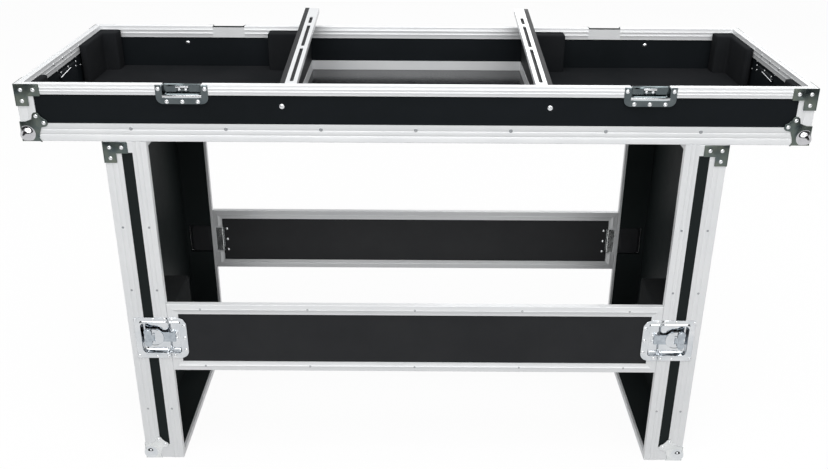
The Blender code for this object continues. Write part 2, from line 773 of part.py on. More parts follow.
def make_padding():
    """One liner for each turntable bay: a mat with raised blocks, drawn for the right side."""
    low = floor_top + GAP
    high = tray_top - PAD_BELOW_RIM
    near = divider_outer + GAP
    edge_x = rim_inner_x - GAP
    edge_y = rim_inner_y - GAP
    x, y = edge_x - GAP, edge_y - GAP
    inner = near + GAP
    blocks = [
        [(inner, y), (inner, y - CORNER_PAD_DEPTH), (inner + INNER_PAD_WIDTH, y - CORNER_PAD_DEPTH),
         (inner + INNER_PAD_WIDTH, y)],
        [(x, y), (x - CORNER_PAD_WIDTH, y), (x - CORNER_PAD_WIDTH, y - CORNER_PAD_DEPTH),
         (x - CORNER_PAD_SIDE, y - CORNER_PAD_DEPTH), (x - CORNER_PAD_SIDE, y - REAR_PAD_LENGTH),
         (x, y - REAR_PAD_LENGTH)],
        [(x, -y), (x - CORNER_PAD_SIDE, -y), (x - CORNER_PAD_SIDE, FRONT_PAD_LENGTH - y),
         (x, FRONT_PAD_LENGTH - y)],
    ]
    for name, side in (("left", -1), ("right", 1)):
        x_low, x_high = sorted((side * near, side * edge_x))
        mat = tool(box_mesh((x_low, -edge_y, low), (x_high, edge_y, low + MAT)))
        for points in blocks:
            turned = [(side * a, b) for a, b in points]
            join(mat, tool(outline_mesh(turned, low + MAT / 2, high)))
        add(f"bay_liner_{name}", settled(mat, "bay_liner"), foam(f"bay_liner_{name}"))


def tray_keeper_frames():
    """Keepers hang from the rim: the joint line lies at the top of the rim, and u points down."""
    down = (0, 0, -1)
    frames = []
    for end, side in (("front", -1), ("rear", 1)):
        for name, x_side in (("left", -1), ("right", 1)):
            origin = (x_side * latch_x, side * half_y, tray_top)
            frames.append((f"tray_keeper_{end}_{name}", hardware_frame(origin, down, (0, side, 0))))
    return frames


def latch_frames():
    """One frame for each joint between a leg and a board, with u pointing away from the leg."""
    frames = []
    for end, side in (("front", -1), ("rear", 1)):
        for name, x_side in (("left", -1), ("right", 1)):
            origin = (x_side * leg_inner, side * half_y, board_centre)
            frames.append((f"{end}_{name}", hardware_frame(origin, (-x_side, 0, 0), (0, side, 0))))
    return frames


# Handles


def handle_frame(side):
    """u runs along the wall, n points out of the end of the case."""
    out = (side, 0, 0)
    origin = (side * half_x, 0, tray_top - HANDLE_BELOW_RIM)
    return hardware_frame(origin, (0, side, 0), out)


def handle_cutter(side):
    wide = HANDLE_PAN[0] / 2 + STEEL + GAP
    tall = HANDLE_PAN[1] / 2 + STEEL + GAP
    return tool(box_mesh((-wide, -tall, -0.05), (wide, tall, 0.05)), handle_frame(side))


def make_handles():
    wide, tall = HANDLE_PAN[0] / 2, HANDLE_PAN[1] / 2
    plate_x, plate_y = HANDLE_PLATE[0] / 2, HANDLE_PLATE[1] / 2
    radius = 0.008
    outline = arc((plate_x - radius, plate_y - radius), radius, 0, 90, 4)
    outline += arc((radius - plate_x, plate_y - radius), radius, 90, 180, 4)
    outline += arc((radius - plate_x, radius - plate_y), radius, 180, 270, 4)
    outline += arc((plate_x - radius, radius - plate_y), radius, 270, 360, 4)
    plate = tool(outline_mesh(outline, plate_base, plate_base + STEEL))
    shell = tub_mesh(
        (-wide - STEEL, -tall - STEEL, -HANDLE_DEPTH - STEEL), (wide + STEEL, tall + STEEL, plate_base + STEEL / 2),
        PAN_TAPER, PAN_ROUND, 0.003,
    )
    well = tub_mesh((-wide, -tall, -HANDLE_DEPTH), (wide, tall, 0.01), PAN_TAPER, PAN_ROUND, 0.003)
    join(plate, tool(shell))
    cut(plate, tool(well))
    axis_v = tall - BAIL_SEAT - BAIL_ROD
    axis_n = -BAIL_ROD - 0.002
    ears = []
    for end in (-1, 1):
        low, high = sorted((end * (BAIL_SPAN / 2 + BAIL_ROD + GAP), end * (wide + STEEL / 2)))
        ears.append(box_mesh((low, axis_v - 0.005, -HANDLE_DEPTH - STEEL / 2), (high, axis_v + 0.005, axis_n + 0.004)))
    join(plate, *[tool(mesh) for mesh in ears])
    dish = settled(plate, "handle_dish")
    smooth(dish)
    for name, side in (("left", -1), ("right", 1)):
        add(f"handle_dish_{name}", dish, plated("handle_dish"), handle_frame(side))
        add_bail(name, side, axis_v, axis_n)


def add_bail(name, side, axis_v, axis_n):
    """A bent rod whose origin lies on its pivot axis. It hangs in the dish."""
    bend = 0.010
    half = BAIL_SPAN / 2
    path = [(-half, 0.0)] + arc((bend - half, bend - BAIL_DROP), bend, 180, 270, 3)
    path += arc((half - bend, bend - BAIL_DROP), bend, 270, 360, 3) + [(half, 0.0)]
    curve = bpy.data.curves.new("bail", "CURVE")
    curve.dimensions = "3D"
    curve.bevel_depth = BAIL_ROD
    curve.bevel_resolution = 2
    curve.use_fill_caps = True
    spline = curve.splines.new("POLY")
    spline.points.add(len(path) - 1)
    for point, (x, y) in zip(spline.points, path):
        point.co = (x, y, 0.0, 1.0)
    curve.materials.append(plated(f"handle_bail_{name}"))
    bail = bpy.data.objects.new(f"handle_bail_{name}", curve)
    case.objects.link(bail)
    bail.matrix_world = handle_frame(side) @ Matrix.Translation((0, axis_v, axis_n))


# The legs


def leg_frame(side):
    """Legs are drawn for the right side. The left one is the same leg turned half round."""
    return Matrix.Rotation(0 if side > 0 else math.pi, 4, "Z")


def leg_shell_mesh():
    low = (leg_inner + lid_inset, -half_y + lid_inset, lid_inset)
    high = (leg_outer - lid_inset, half_y - lid_inset, LID_LENGTH - lid_inset)
    wall = lid_inset + PLY
    board = tool(box_mesh(low, high))
    well = box_mesh(
        (leg_inner - REACH, -half_y + wall, wall),
        (leg_outer - wall, half_y - wall, LID_LENGTH - wall),
    )
    cut(board, tool(well), *leg_recesses(REACH))
    return settled(board, "leg_shell")


def leg_recesses(depth):
    start = -PAN_START - STEEL - GAP
    frames = [matrix for place, matrix in latch_frames() if "right" in place]
    return [recess_cutter(matrix, start, REACH, depth) for matrix in frames]


def leg_edging_mesh():
    """Aluminium along every edge of the lid half, with its top brackets, in one piece."""

    def is_open(centre, normal):
        x, y, z = centre.x, abs(centre.y), centre.z
        if normal.x < -0.5:
            return y < half_y - lid_ring and lid_ring < z < LID_LENGTH - lid_ring
        if normal.x > 0.5:
            return y < half_y - LID_PANEL_BAND and LID_PANEL_BAND < z < LID_LENGTH - LID_PANEL_BAND
        black = leg_inner + LID_RIM_BAND < x < leg_outer - LID_OUTER_BAND
        if abs(normal.y) > 0.5:
            return black and LID_END_BAND < z < LID_LENGTH - LID_SPLIT_BAND
        return black and y < half_y - LID_PANEL_BAND

    scores_x = [leg_inner + LID_RIM_BAND, leg_outer - LID_OUTER_BAND]
    scores_y = [side * (half_y - width) for side in (-1, 1) for width in (LID_PANEL_BAND, lid_ring)]
    scores_z = [LID_END_BAND, LID_LENGTH - LID_SPLIT_BAND, lid_ring, LID_LENGTH - lid_ring]
    scores_z += [LID_PANEL_BAND, LID_LENGTH - LID_PANEL_BAND]
    low, high = (leg_inner, -half_y, 0.0), (leg_outer, half_y, LID_LENGTH)
    bm = box_skin_mesh(low, high, (scores_x, scores_y, scores_z), is_open)
    lip = [e for e in bm.edges if e.is_boundary and all(abs(v.co.x - leg_inner) < 1e-6 for v in e.verts)]
    turned = bmesh.ops.extrude_edge_only(bm, edges=lip)["geom"]
    moved = [item for item in turned if isinstance(item, bmesh.types.BMVert)]
    bmesh.ops.translate(bm, vec=(LID_RIM_LIP, 0, 0), verts=moved)
    bmesh.ops.recalc_face_normals(bm, faces=bm.faces)
    outermost = max(bm.faces, key=lambda face: face.calc_center_median().x)
    if outermost.normal.x < 0:
        bmesh.ops.reverse_faces(bm, faces=bm.faces)
    edging = tool(keep_normals(bm, "leg_edging"))
    thicken(edging, SHEET)
    cut(edging, *leg_recesses(recess_depth))
    bracket = bracket_mesh(-EDGE_STEP)
    for place, matrix in corner_turns(leg_outer, half_y, LID_LENGTH - GAP):
        if "right" in place:
            join(edging, tool(bracket, matrix))
    return settled(edging, "leg_edging")


def make_legs():
    shell = leg_shell_mesh()
    edging = leg_edging_mesh()
    corner = ball_corner_mesh(GAP, False)
    inner = leg_inner + LEG_PAD_SETBACK
    outer = leg_outer - lid_inset - PLY - GAP
    front = -half_y + lid_ring + GAP
    for name, side in (("left", -1), ("right", 1)):
        add(f"{name}_leg_shell", shell, laminate("leg_shell"), leg_frame(side))
        add(f"{name}_leg_edging", edging, aluminium("leg_edging"), leg_frame(side))
        low, high = sorted((side * inner, side * outer))
        top = (high, front + LEG_PAD_DEPTH, LEG_PAD_TOP)
        mesh = box_mesh((low, front, LEG_PAD_TOP - LEG_PAD_HEIGHT), top)
        add(f"{name}_leg_pad", mesh, foam(f"{name}_leg_pad"))
    for place, matrix in corner_turns(leg_outer, half_y, 0.0):
        add(f"leg_ball_corner_{place}", corner, plated("leg_ball_corner"), matrix)


# The boards between the legs


def board_trim_section():
    """A channel round the edge of a board: insets on the ends, insets along it, and depth."""
    inner = SHEET
    far = board_thick
    rows = [(BOARD_TRIM, 0.0), (0.0, 0.0), (0.0, far), (BOARD_TRIM, far)]
    rows += [(BOARD_TRIM, far - inner), (inner, far - inner), (inner, inner), (BOARD_TRIM, inner)]
    return [(inset, inset, depth) for inset, depth in rows]


def keeper_back_points():
    """The hole behind a keeper's pan, which shows the back of the pan."""
    radius = (BACK_HOLE_END - BACK_HOLE_START) / 2
    middle = (BACK_HOLE_END + BACK_HOLE_START) / 2
    reach = BACK_HOLE_HALF - radius
    return arc((middle, reach), radius, 0, 180, 8) + arc((middle, -reach), radius, 180, 360, 8)


def make_boards():
    frames = dict(latch_frames())
    for end, side in (("front", -1), ("rear", 1)):
        matrices = [frames[f"{end}_{name}"] for name in ("left", "right")]
        near, far = side * (half_y - lid_inset), side * (half_y - lid_inset - PLY)
        low, high = sorted((near, far))
        reach = board_half - lid_inset
        mesh = box_mesh((-reach, low, board_low + lid_inset), (reach, high, board_high - lid_inset))
        board = add(f"{end}_stretcher_board", mesh, charcoal(f"{end}_stretcher_board"))
        cut(board, *[recess_cutter(matrix, -REACH, keeper_recess, REACH) for matrix in matrices])
        upright = Matrix(((1, 0, 0, 0), (0, 0, -side, side * half_y), (0, 1, 0, board_centre), (0, 0, 0, 1)))
        mesh = baked(mitred_frame_mesh(board_half, BOARD_HEIGHT / 2, board_trim_section()), upright)
        trim = add(f"{end}_stretcher_trim", mesh, aluminium(f"{end}_stretcher_trim"))
        cut(trim, *[recess_cutter(matrix, -REACH, keeper_recess) for matrix in matrices])
        hole = outline_mesh(keeper_back_points(), -REACH, REACH)
        cut(trim, *[tool(hole, matrix) for matrix in matrices])


def make_latches():
    dish, spindle, wing = latch_dish_mesh(), spindle_mesh(), wing_mesh()
    hook, keeper = hook_mesh(), keeper_mesh()
    at_spindle = Matrix.Translation((-SPINDLE_AT, 0, 0))
    for place, matrix in latch_frames():
        add(f"latch_dish_{place}", dish, plated("latch_dish"), matrix)
        add(f"latch_spindle_{place}", spindle, plated("latch_spindle"), matrix @ at_spindle)
        add(f"latch_wing_{place}", wing, plated("latch_wing"), matrix @ at_spindle)
        add(f"latch_hook_{place}", hook, plated("latch_hook"), matrix)
        add(f"board_keeper_{place}", keeper, plated("keeper"), matrix)
    for node, matrix in tray_keeper_frames():
        add(node, keeper, plated("keeper"), matrix)


make_tray_boards()
make_tray_edging()
make_tray_corners()
make_mixer_bay()
make_padding()
make_handles()
make_legs()
make_boards()
make_latches()
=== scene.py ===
import math

import bpy
import bmesh
import numpy as np
from mathutils import Euler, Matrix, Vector


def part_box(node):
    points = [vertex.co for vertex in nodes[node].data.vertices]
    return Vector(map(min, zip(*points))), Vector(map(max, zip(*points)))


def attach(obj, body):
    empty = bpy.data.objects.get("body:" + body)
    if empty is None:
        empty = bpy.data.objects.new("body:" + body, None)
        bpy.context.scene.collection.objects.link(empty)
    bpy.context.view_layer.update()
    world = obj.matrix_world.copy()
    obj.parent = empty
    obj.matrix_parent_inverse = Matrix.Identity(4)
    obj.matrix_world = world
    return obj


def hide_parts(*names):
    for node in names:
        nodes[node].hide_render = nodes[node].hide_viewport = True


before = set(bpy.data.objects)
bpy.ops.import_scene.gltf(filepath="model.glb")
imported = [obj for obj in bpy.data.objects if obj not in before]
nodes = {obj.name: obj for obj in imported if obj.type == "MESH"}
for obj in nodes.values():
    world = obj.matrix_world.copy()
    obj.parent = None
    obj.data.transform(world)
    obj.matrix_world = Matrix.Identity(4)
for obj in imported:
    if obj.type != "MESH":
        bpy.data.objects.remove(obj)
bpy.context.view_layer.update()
print("frame:", len(nodes), "nodes")

# everything below is in metres, +Z up, +Y to the rear

stock = {
    "sheet": 0.0015,  # wall of the aluminium extrusions
    "clearance": 0.0003,  # between the extrusion and the board in it
    "step": 0.0006,  # the rim stands this far proud of the angle below it
    "cover": 0.0031,  # and this far above the walls
    "board": 0.009,
    "ribDepth": 0.0006,
    "ribWidth": 0.0019,
    "edgeRadius": 0.0011,
    "straightFrom": 1.01,  # a face starts this many edge radii from its corner
    "grooveSlope": 0.0004,
}
sheet = stock["sheet"]
clearance = stock["clearance"]
lidInset = sheet + clearance
trayInset = lidInset + stock["step"]
lidRing = lidInset + stock["board"] + clearance + sheet
rimWidth = trayInset + stock["board"] + clearance + sheet

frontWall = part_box("tray_front_wall")
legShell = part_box("right_leg_shell")
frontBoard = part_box("front_stretcher_board")
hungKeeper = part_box("tray_keeper_front_right")
case = {
    "halfX": frontWall[1][0] + trayInset,
    "halfY": -frontWall[0][1] + trayInset,
    "bottom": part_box("tray_base_frame")[0][2],
    "top": frontWall[1][2] + stock["cover"],
    "legInner": legShell[0][0] - lidInset,
    "legOuter": legShell[1][0] + lidInset,
    "legTop": legShell[1][2] + lidInset,
    "boardHalf": frontBoard[1][0] + lidInset,
    "boardLow": frontBoard[0][2] - lidInset,
    "boardHigh": frontBoard[1][2] + lidInset,
}
halfX, halfY = case["halfX"], case["halfY"]
trayTop, trayBottom = case["top"], case["bottom"]
latchHeight = (case["boardLow"] + case["boardHigh"]) / 2
keeperX = (hungKeeper[0][0] + hungKeeper[1][0]) / 2
print("case measured from the frame")


# shapes, each (points, faces, corner UVs), where a face is a list of indices

# a vector divided by its length
def unit(vector):
    vector = np.asarray(vector, float)
    return vector / np.linalg.norm(vector)


# several shapes as one: each one's face indices move on by the points before it
def joinShapes(shapes):
    points, faces, uvs, offset = [], [], [], 0
    for shapePoints, shapeFaces, shapeUvs in shapes:
        points.append(shapePoints)
        faces += [[index + offset for index in face] for face in shapeFaces]
        uvs += shapeUvs
        offset += len(shapePoints)
    return np.concatenate(points), faces, uvs


# whole rings of a shape's points filled with a face each; their corners' UVs come from a flat outline
def filled(shape, rings, flat=((0.0, 0.0),)):
    points, faces, uvs = shape
    caps = [list(ring) for ring in rings]
    capUvs = [[tuple(flat[index % len(flat)]) for index in cap] for cap in caps]
    return points, faces + caps, uvs + capUvs


# a grid of points (rows, columns, 3) as quads; UVs are lengths along the rows and the columns
def gridShape(points, closeRows=False, closeColumns=False):
    rows, columns = points.shape[:2]
    byRow = np.linalg.norm(np.diff(points, axis=0, append=points[:1]), axis=2).mean(axis=1)
    byColumn = np.linalg.norm(np.diff(points, axis=1, append=points[:, :1]), axis=2).mean(axis=0)
    vAt = np.concatenate([[0], np.cumsum(byRow)])
    uAt = np.concatenate([[0], np.cumsum(byColumn)])
    i, j = np.meshgrid(np.arange(rows if closeRows else rows - 1),
                       np.arange(columns if closeColumns else columns - 1), indexing="ij")
    i, j = i.ravel(), j.ravel()
    iNext, jNext = (i + 1) % rows, (j + 1) % columns
    here, beyond = i * columns, iNext * columns
    quads = np.stack([here + j, here + jNext, beyond + jNext, beyond + j], axis=1)
    uvs = np.stack([np.stack([uAt[j], vAt[i]], 1), np.stack([uAt[j + 1], vAt[i]], 1),
                    np.stack([uAt[j + 1], vAt[i + 1]], 1), np.stack([uAt[j], vAt[i + 1]], 1)], axis=1)
    return points.reshape(-1, 3), quads.tolist(), uvs.tolist()


# a closed profile carried along a straight run, its ends slanted by the mitre and filled
def runShape(profile, start, end, inward, up, mitres=(0.0, 0.0)):
    profile = np.asarray(profile, float)
    start, end = np.asarray(start, float), np.asarray(end, float)
    inward, up = unit(inward), unit(up)
    along = unit(end - start)
    section = profile[:, :1] * inward + profile[:, 1:] * up
    near = start + section + profile[:, :1] * mitres[0] * along
    far = end + section - profile[:, :1] * mitres[1] * along
    points, faces, uvs = gridShape(np.stack([near, far]), closeColumns=True)
    # turn the UVs so that U runs along the extrusion
    uvs = [[(v, u) for u, v in corner] for corner in uvs]
    count = len(profile)
    return filled((points, faces, uvs), (range(count)[::-1], range(count, 2 * count)), profile)


# a side of a frame, interrupted where other profiles take over: gaps are (from, to, profile or None)
def sideShapes(profile, start, end, inward, up, gaps=(), mitres=(1.0, 1.0)):
    start, end = np.asarray(start, float), np.asarray(end, float)
    along = unit(end - start)
    shapes, position, mitre = [], 0.0, mitres[0]
    for low, high, other in sorted(gaps, key=lambda gap: gap[0]):
        gapStart, gapEnd = start + along * low, start + along * high
        if low > position:
            shapes.append(runShape(profile, start + along * position, gapStart, inward, up, (mitre, 0.0)))
        if other is not None:
            shapes.append(runShape(other, gapStart, gapEnd, inward, up))
        position, mitre = high, 0.0
    shapes.append(runShape(profile, start + along * position, end, inward, up, (mitre, mitres[1])))
    return shapes


# points from a to b with shallow V grooves; the grooves go to the left of the direction of travel
def ribbedLine(a, b, places):
    a, b = np.asarray(a, float), np.asarray(b, float)
    length = np.linalg.norm(b - a)
    along = (b - a) / length
    left = np.array([-along[1], along[0]])
    half = stock["ribWidth"] / 2
    points = [a]
    for place in places:
        centre = a + along * length * place
        points += [centre - along * half, centre + left * stock["ribDepth"], centre + along * half]
    points.append(b)
    return points


# an arc of the radius between the two edges that meet at a square corner, from one to the other
def roundedCorner(before, corner, after, radius, steps=4):
    before, corner, after = (np.asarray(p, float) for p in (before, corner, after))
    start = corner + unit(before - corner) * radius
    end = corner + unit(after - corner) * radius
    centre = start + end - corner
    points = []
    for step in range(steps + 1):
        turn = step / steps * math.pi / 2
        direction = unit((start - centre) * math.cos(turn) + (end - centre) * math.sin(turn))
        points.append(centre + direction * radius)
    return points


# an L section: leg A runs up from the outer corner, leg B runs inwards from it
def angleProfile(legA, legB, ribsA=(0.36, 0.66), ribsB=(0.5,)):
    radius = stock["edgeRadius"]
    faceFrom = radius * stock["straightFrom"]
    profile = [(sheet, legA)]
    profile += ribbedLine((0.0, legA), (0.0, faceFrom), [1 - place for place in ribsA][::-1])
    profile += roundedCorner((0, legA), (0, 0), (legB, 0), radius)
    profile += ribbedLine((faceFrom, 0.0), (legB, 0.0), ribsB)
    profile += [(legB, sheet), (sheet, sheet)]
    return np.array(profile)


# a U section over the edge of a board: down the outside, over the top and down the inside
def channelProfile(outer, width, inner, ribsOuter=(0.36, 0.66), ribsInner=(), groove=None, topThick=sheet):
    radius = stock["edgeRadius"]
    faceFrom = radius * stock["straightFrom"]
    profile = ribbedLine((0.0, -outer), (0.0, -faceFrom), [1 - place for place in ribsOuter][::-1])
    profile += roundedCorner((0, -outer), (0, 0), (width, 0), radius)
    if groove:
        grooveWidth, grooveDepth = groove
        low, high = (width - grooveWidth) / 2, (width + grooveWidth) / 2
        slope = stock["grooveSlope"]
        profile += [(low, 0.0), (low + slope, -grooveDepth), (high - slope, -grooveDepth), (high, 0.0)]
    else:
        profile += [(faceFrom, 0.0), (width - faceFrom, 0.0)]
    profile += roundedCorner((0, 0), (width, 0), (width, -inner), radius)
    profile += ribbedLine((width, -faceFrom), (width, -inner), ribsInner)
    profile += [(width - sheet, -inner), (width - sheet, -topThick), (sheet, -topThick), (sheet, -outer)]
    return np.array(profile)


# a profile of (radius, height) turned round an axis that starts at the centre, both ends filled
def turnedShape(profile, centre, axis, sides=20):
    profile = np.asarray(profile, float)
    axis = unit(axis)
    side = unit(np.cross(axis, (0.31, 0.57, 0.76)))  # any vector that no axis here lies along
    other = np.cross(axis, side)
    angles = np.linspace(0, 2 * np.pi, sides, endpoint=False)
    ring = np.cos(angles)[:, None] * side + np.sin(angles)[:, None] * other
    radius, height = profile[:, 0, None, None], profile[:, 1, None, None]
    points = radius * ring[None] + height * axis + np.asarray(centre, float)
    last = (len(profile) - 1) * sides
    return filled(gridShape(points, closeColumns=True), (range(sides)[::-1], range(last, last + sides)))


# the outline moved inwards by a distance, along the bisectors of its corners
def insetOutline(outline, distance):
    before, after = np.roll(outline, 1, axis=0), np.roll(outline, -1, axis=0)
    first = (outline - before) / np.linalg.norm(outline - before, axis=1)[:, None]
    second = (after - outline) / np.linalg.norm(after - outline, axis=1)[:, None]
    normalA = np.stack([-first[:, 1], first[:, 0]], axis=1)
    normalB = np.stack([-second[:, 1], second[:, 0]], axis=1)
    bisector = normalA + normalB
    bisector /= np.linalg.norm(bisector, axis=1)[:, None]
    reach = distance / np.clip((bisector * normalA).sum(axis=1), 0.4, 1.0)
    area = (outline[:, 0] * after[:, 1] - after[:, 0] * outline[:, 1]).sum()
    return outline + bisector * reach[:, None] * (1 if area > 0 else -1)


# a plate over an outline: it rises straight from low, then rounds over to a flat top at high
def plateShape(outline, low, high, place, rounding=0.0003):
    outline = np.asarray(outline, float)
    rings = [(0.0, low), (0.0, high - rounding), (rounding * 0.3, high - rounding * 0.3), (rounding, high)]
    points = np.stack([place(*insetOutline(outline, inset).T, height) for inset, height in rings])
    count = len(outline)
    ends = range(count)[::-1], range(3 * count, 4 * count)
    return filled(gridShape(points, closeColumns=True), ends, outline)


# points on a circle from one angle to another, in degrees from the first axis
def arcPoints(centre, radius, start, end, steps):
    angles = np.radians(np.linspace(start, end, steps + 1))
    return np.stack([centre[0] + radius * np.cos(angles), centre[1] + radius * np.sin(angles)], axis=1)


# maps (u, v, n) to the world from an origin: u along, n out, and v across, which is n x u by itself
def placer(origin, along, out, across=None):
    u, n = unit(along), unit(out)
    v = np.cross(n, u) if across is None else unit(across)
    origin = np.asarray(origin, float)
    times = np.multiply.outer
    return lambda a, b, c: origin + times(a, u) + times(b, v) + times(c, n)


# links an object for a mesh, a camera or a lamp to the scene
def addObject(name, data):
    thing = bpy.data.objects.new(name, data)
    bpy.context.scene.collection.objects.link(thing)
    return thing


def makePiece(name, shapes, material, body, replaces=(), smoothAngle=35):
    points, faces, uvs = joinShapes(shapes)
    mesh = bpy.data.meshes.new(name)
    mesh.from_pydata(points.tolist(), [], faces)
    layer = mesh.uv_layers.new(name="UVMap")
    layer.data.foreach_set("uv", np.concatenate([np.asarray(corner, float).ravel() for corner in uvs]))
    work = bmesh.new()
    work.from_mesh(mesh)
    bmesh.ops.recalc_face_normals(work, faces=work.faces)
    work.to_mesh(mesh)
    work.free()
    mesh.shade_smooth()
    mesh.set_sharp_from_angle(angle=math.radians(smoothAngle))
    mesh.materials.append(material)
    piece = addObject(name, mesh)
    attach(piece, body)
    if replaces:
        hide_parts(*replaces)
    return piece


# materials

grain = {
    "maskFrom": 0.3,  # the part of the noise's range that the mask uses
    "maskTo": 0.7,
    "bumpDepth": 0.0002,
    "drawn": {"Along": 18.0, "Across": 1400.0},  # how fine the streaks are, along and across
    "satin": {"Along": 300.0, "Across": 300.0},
    "bright": {"Along": 200.0, "Across": 200.0},
}


# adds a shader node: its settings, then its inputs, each given as a value or as the socket to link
def addNode(tree, kind, inputs=None, **settings):
    node = tree.nodes.new("ShaderNode" + kind)
    for name, value in settings.items():
        setattr(node, name, value)
    for key, value in (inputs or {}).items():
        if isinstance(value, bpy.types.NodeSocket):
            tree.links.new(value, node.inputs[key])
        else:
            node.inputs[key].default_value = value
    return node


# a node group with number inputs, given as names and values, and number outputs
def nodeGroup(name, inputs, outputs):
    group = bpy.data.node_groups.new(name, "ShaderNodeTree")
    for label, value in inputs.items():
        socket = group.interface.new_socket(label, in_out="INPUT", socket_type="NodeSocketFloat")
        socket.default_value = value
    for label in outputs:
        group.interface.new_socket(label, in_out="OUTPUT", socket_type="NodeSocketFloat")
    return group, group.nodes.new("NodeGroupInput").outputs, group.nodes.new("NodeGroupOutput").inputs


# grain drawn out along U: noise at (U x along, V x across) as a height, and slow smudges as a mask
def makeGrainGroup():
    group, given, out = nodeGroup("drawnGrain", {**grain["drawn"], "Smudge": 9.0}, ("Height", "Smudges"))
    uv = addNode(group, "UVMap", uv_map="UVMap")
    scales = addNode(group, "CombineXYZ", {0: given["Along"], 1: given["Across"]})
    drawn = addNode(group, "VectorMath", {0: uv.outputs[0], 1: scales.outputs[0]}, operation="MULTIPLY")
    streaks = addNode(group, "TexNoise", {"Vector": drawn.outputs[0], "Scale": 1.0, "Detail": 2.0})
    place = addNode(group, "TexCoord")
    smudges = addNode(group, "TexNoise", {"Vector": place.outputs["Object"], "Scale": given["Smudge"],
                                          "Detail": 4.0, "Roughness": 0.6})
    group.links.new(streaks.outputs[0], out["Height"])
    group.links.new(smudges.outputs[0], out["Smudges"])
    return group


# small pebbles pressed into laminate as a height, and dust or scuffs as a mask
def makePebbleGroup():
    group, given, out = nodeGroup("pebbleGrain", {"Scale": 700.0, "Scuff": 6.0}, ("Height", "Scuffs"))
    place = addNode(group, "TexCoord")
    pebbles = addNode(group, "TexVoronoi", {"Scale": given["Scale"], "Vector": place.outputs["Object"]},
                      feature="SMOOTH_F1")
    scuffs = addNode(group, "TexNoise", {"Vector": place.outputs["Object"], "Scale": given["Scuff"],
                                         "Detail": 6.0, "Roughness": 0.65})
    group.links.new(pebbles.outputs["Distance"], out["Height"])
    group.links.new(scuffs.outputs[0], out["Scuffs"])
    return group


grainGroup = makeGrainGroup()
pebbleGroup = makePebbleGroup()


# a new material, with its node tree and its surface
def newMaterial(name):
    material = bpy.data.materials.new(name)
    material.use_nodes = True
    return material, material.node_tree, material.node_tree.nodes["Principled BSDF"]


# a finish from a grain group: its mask moves colour and roughness between two ends, its height is a bump
def grainedFinish(name, group, values, first, second, rough, bump, surfaceValues):
    material, tree, surface = newMaterial(name)
    pattern = addNode(tree, "Group", node_tree=group)
    for label, value in values.items():
        pattern.inputs[label].default_value = value
    height, mask = pattern.outputs[0], pattern.outputs[1]

    def maskBetween(low, high):
        span = {"From Min": grain["maskFrom"], "From Max": grain["maskTo"], "To Min": low, "To Max": high}
        return addNode(tree, "MapRange", {"Value": mask, **span}).outputs[0]

    colour = addNode(tree, "Mix", data_type="RGBA")
    colour.inputs["A"].default_value = (*first, 1.0)
    colour.inputs["B"].default_value = (*second, 1.0)
    tree.links.new(maskBetween(0, 1), colour.inputs["Factor"])
    normal = addNode(tree, "Bump", {"Strength": bump, "Distance": grain["bumpDepth"], "Height": height})
    tree.links.new(colour.outputs["Result"], surface.inputs["Base Color"])
    tree.links.new(maskBetween(*rough), surface.inputs["Roughness"])
    tree.links.new(normal.outputs[0], surface.inputs["Normal"])
    for label, value in surfaceValues.items():
        surface.inputs[label].default_value = value
    return material


# metal with a drawn grain and smudges
def drawnMetal(name, first, second, rough, streaks="drawn", bump=0.12, smudge=9.0, metallic=1.0):
    values = {**grain[streaks], "Smudge": smudge}
    return grainedFinish(name, grainGroup, values, first, second, rough, bump, {"Metallic": metallic})


# black laminate, foam or rubber: a pebbled face with a low sheen, slightly scuffed
def pebbled(name, first, second, rough, specular, scale=700.0, bump=0.25):
    surfaceValues = {"Specular IOR Level": specular}
    return grainedFinish(name, pebbleGroup, {"Scale": scale}, first, second, rough, bump, surfaceValues)


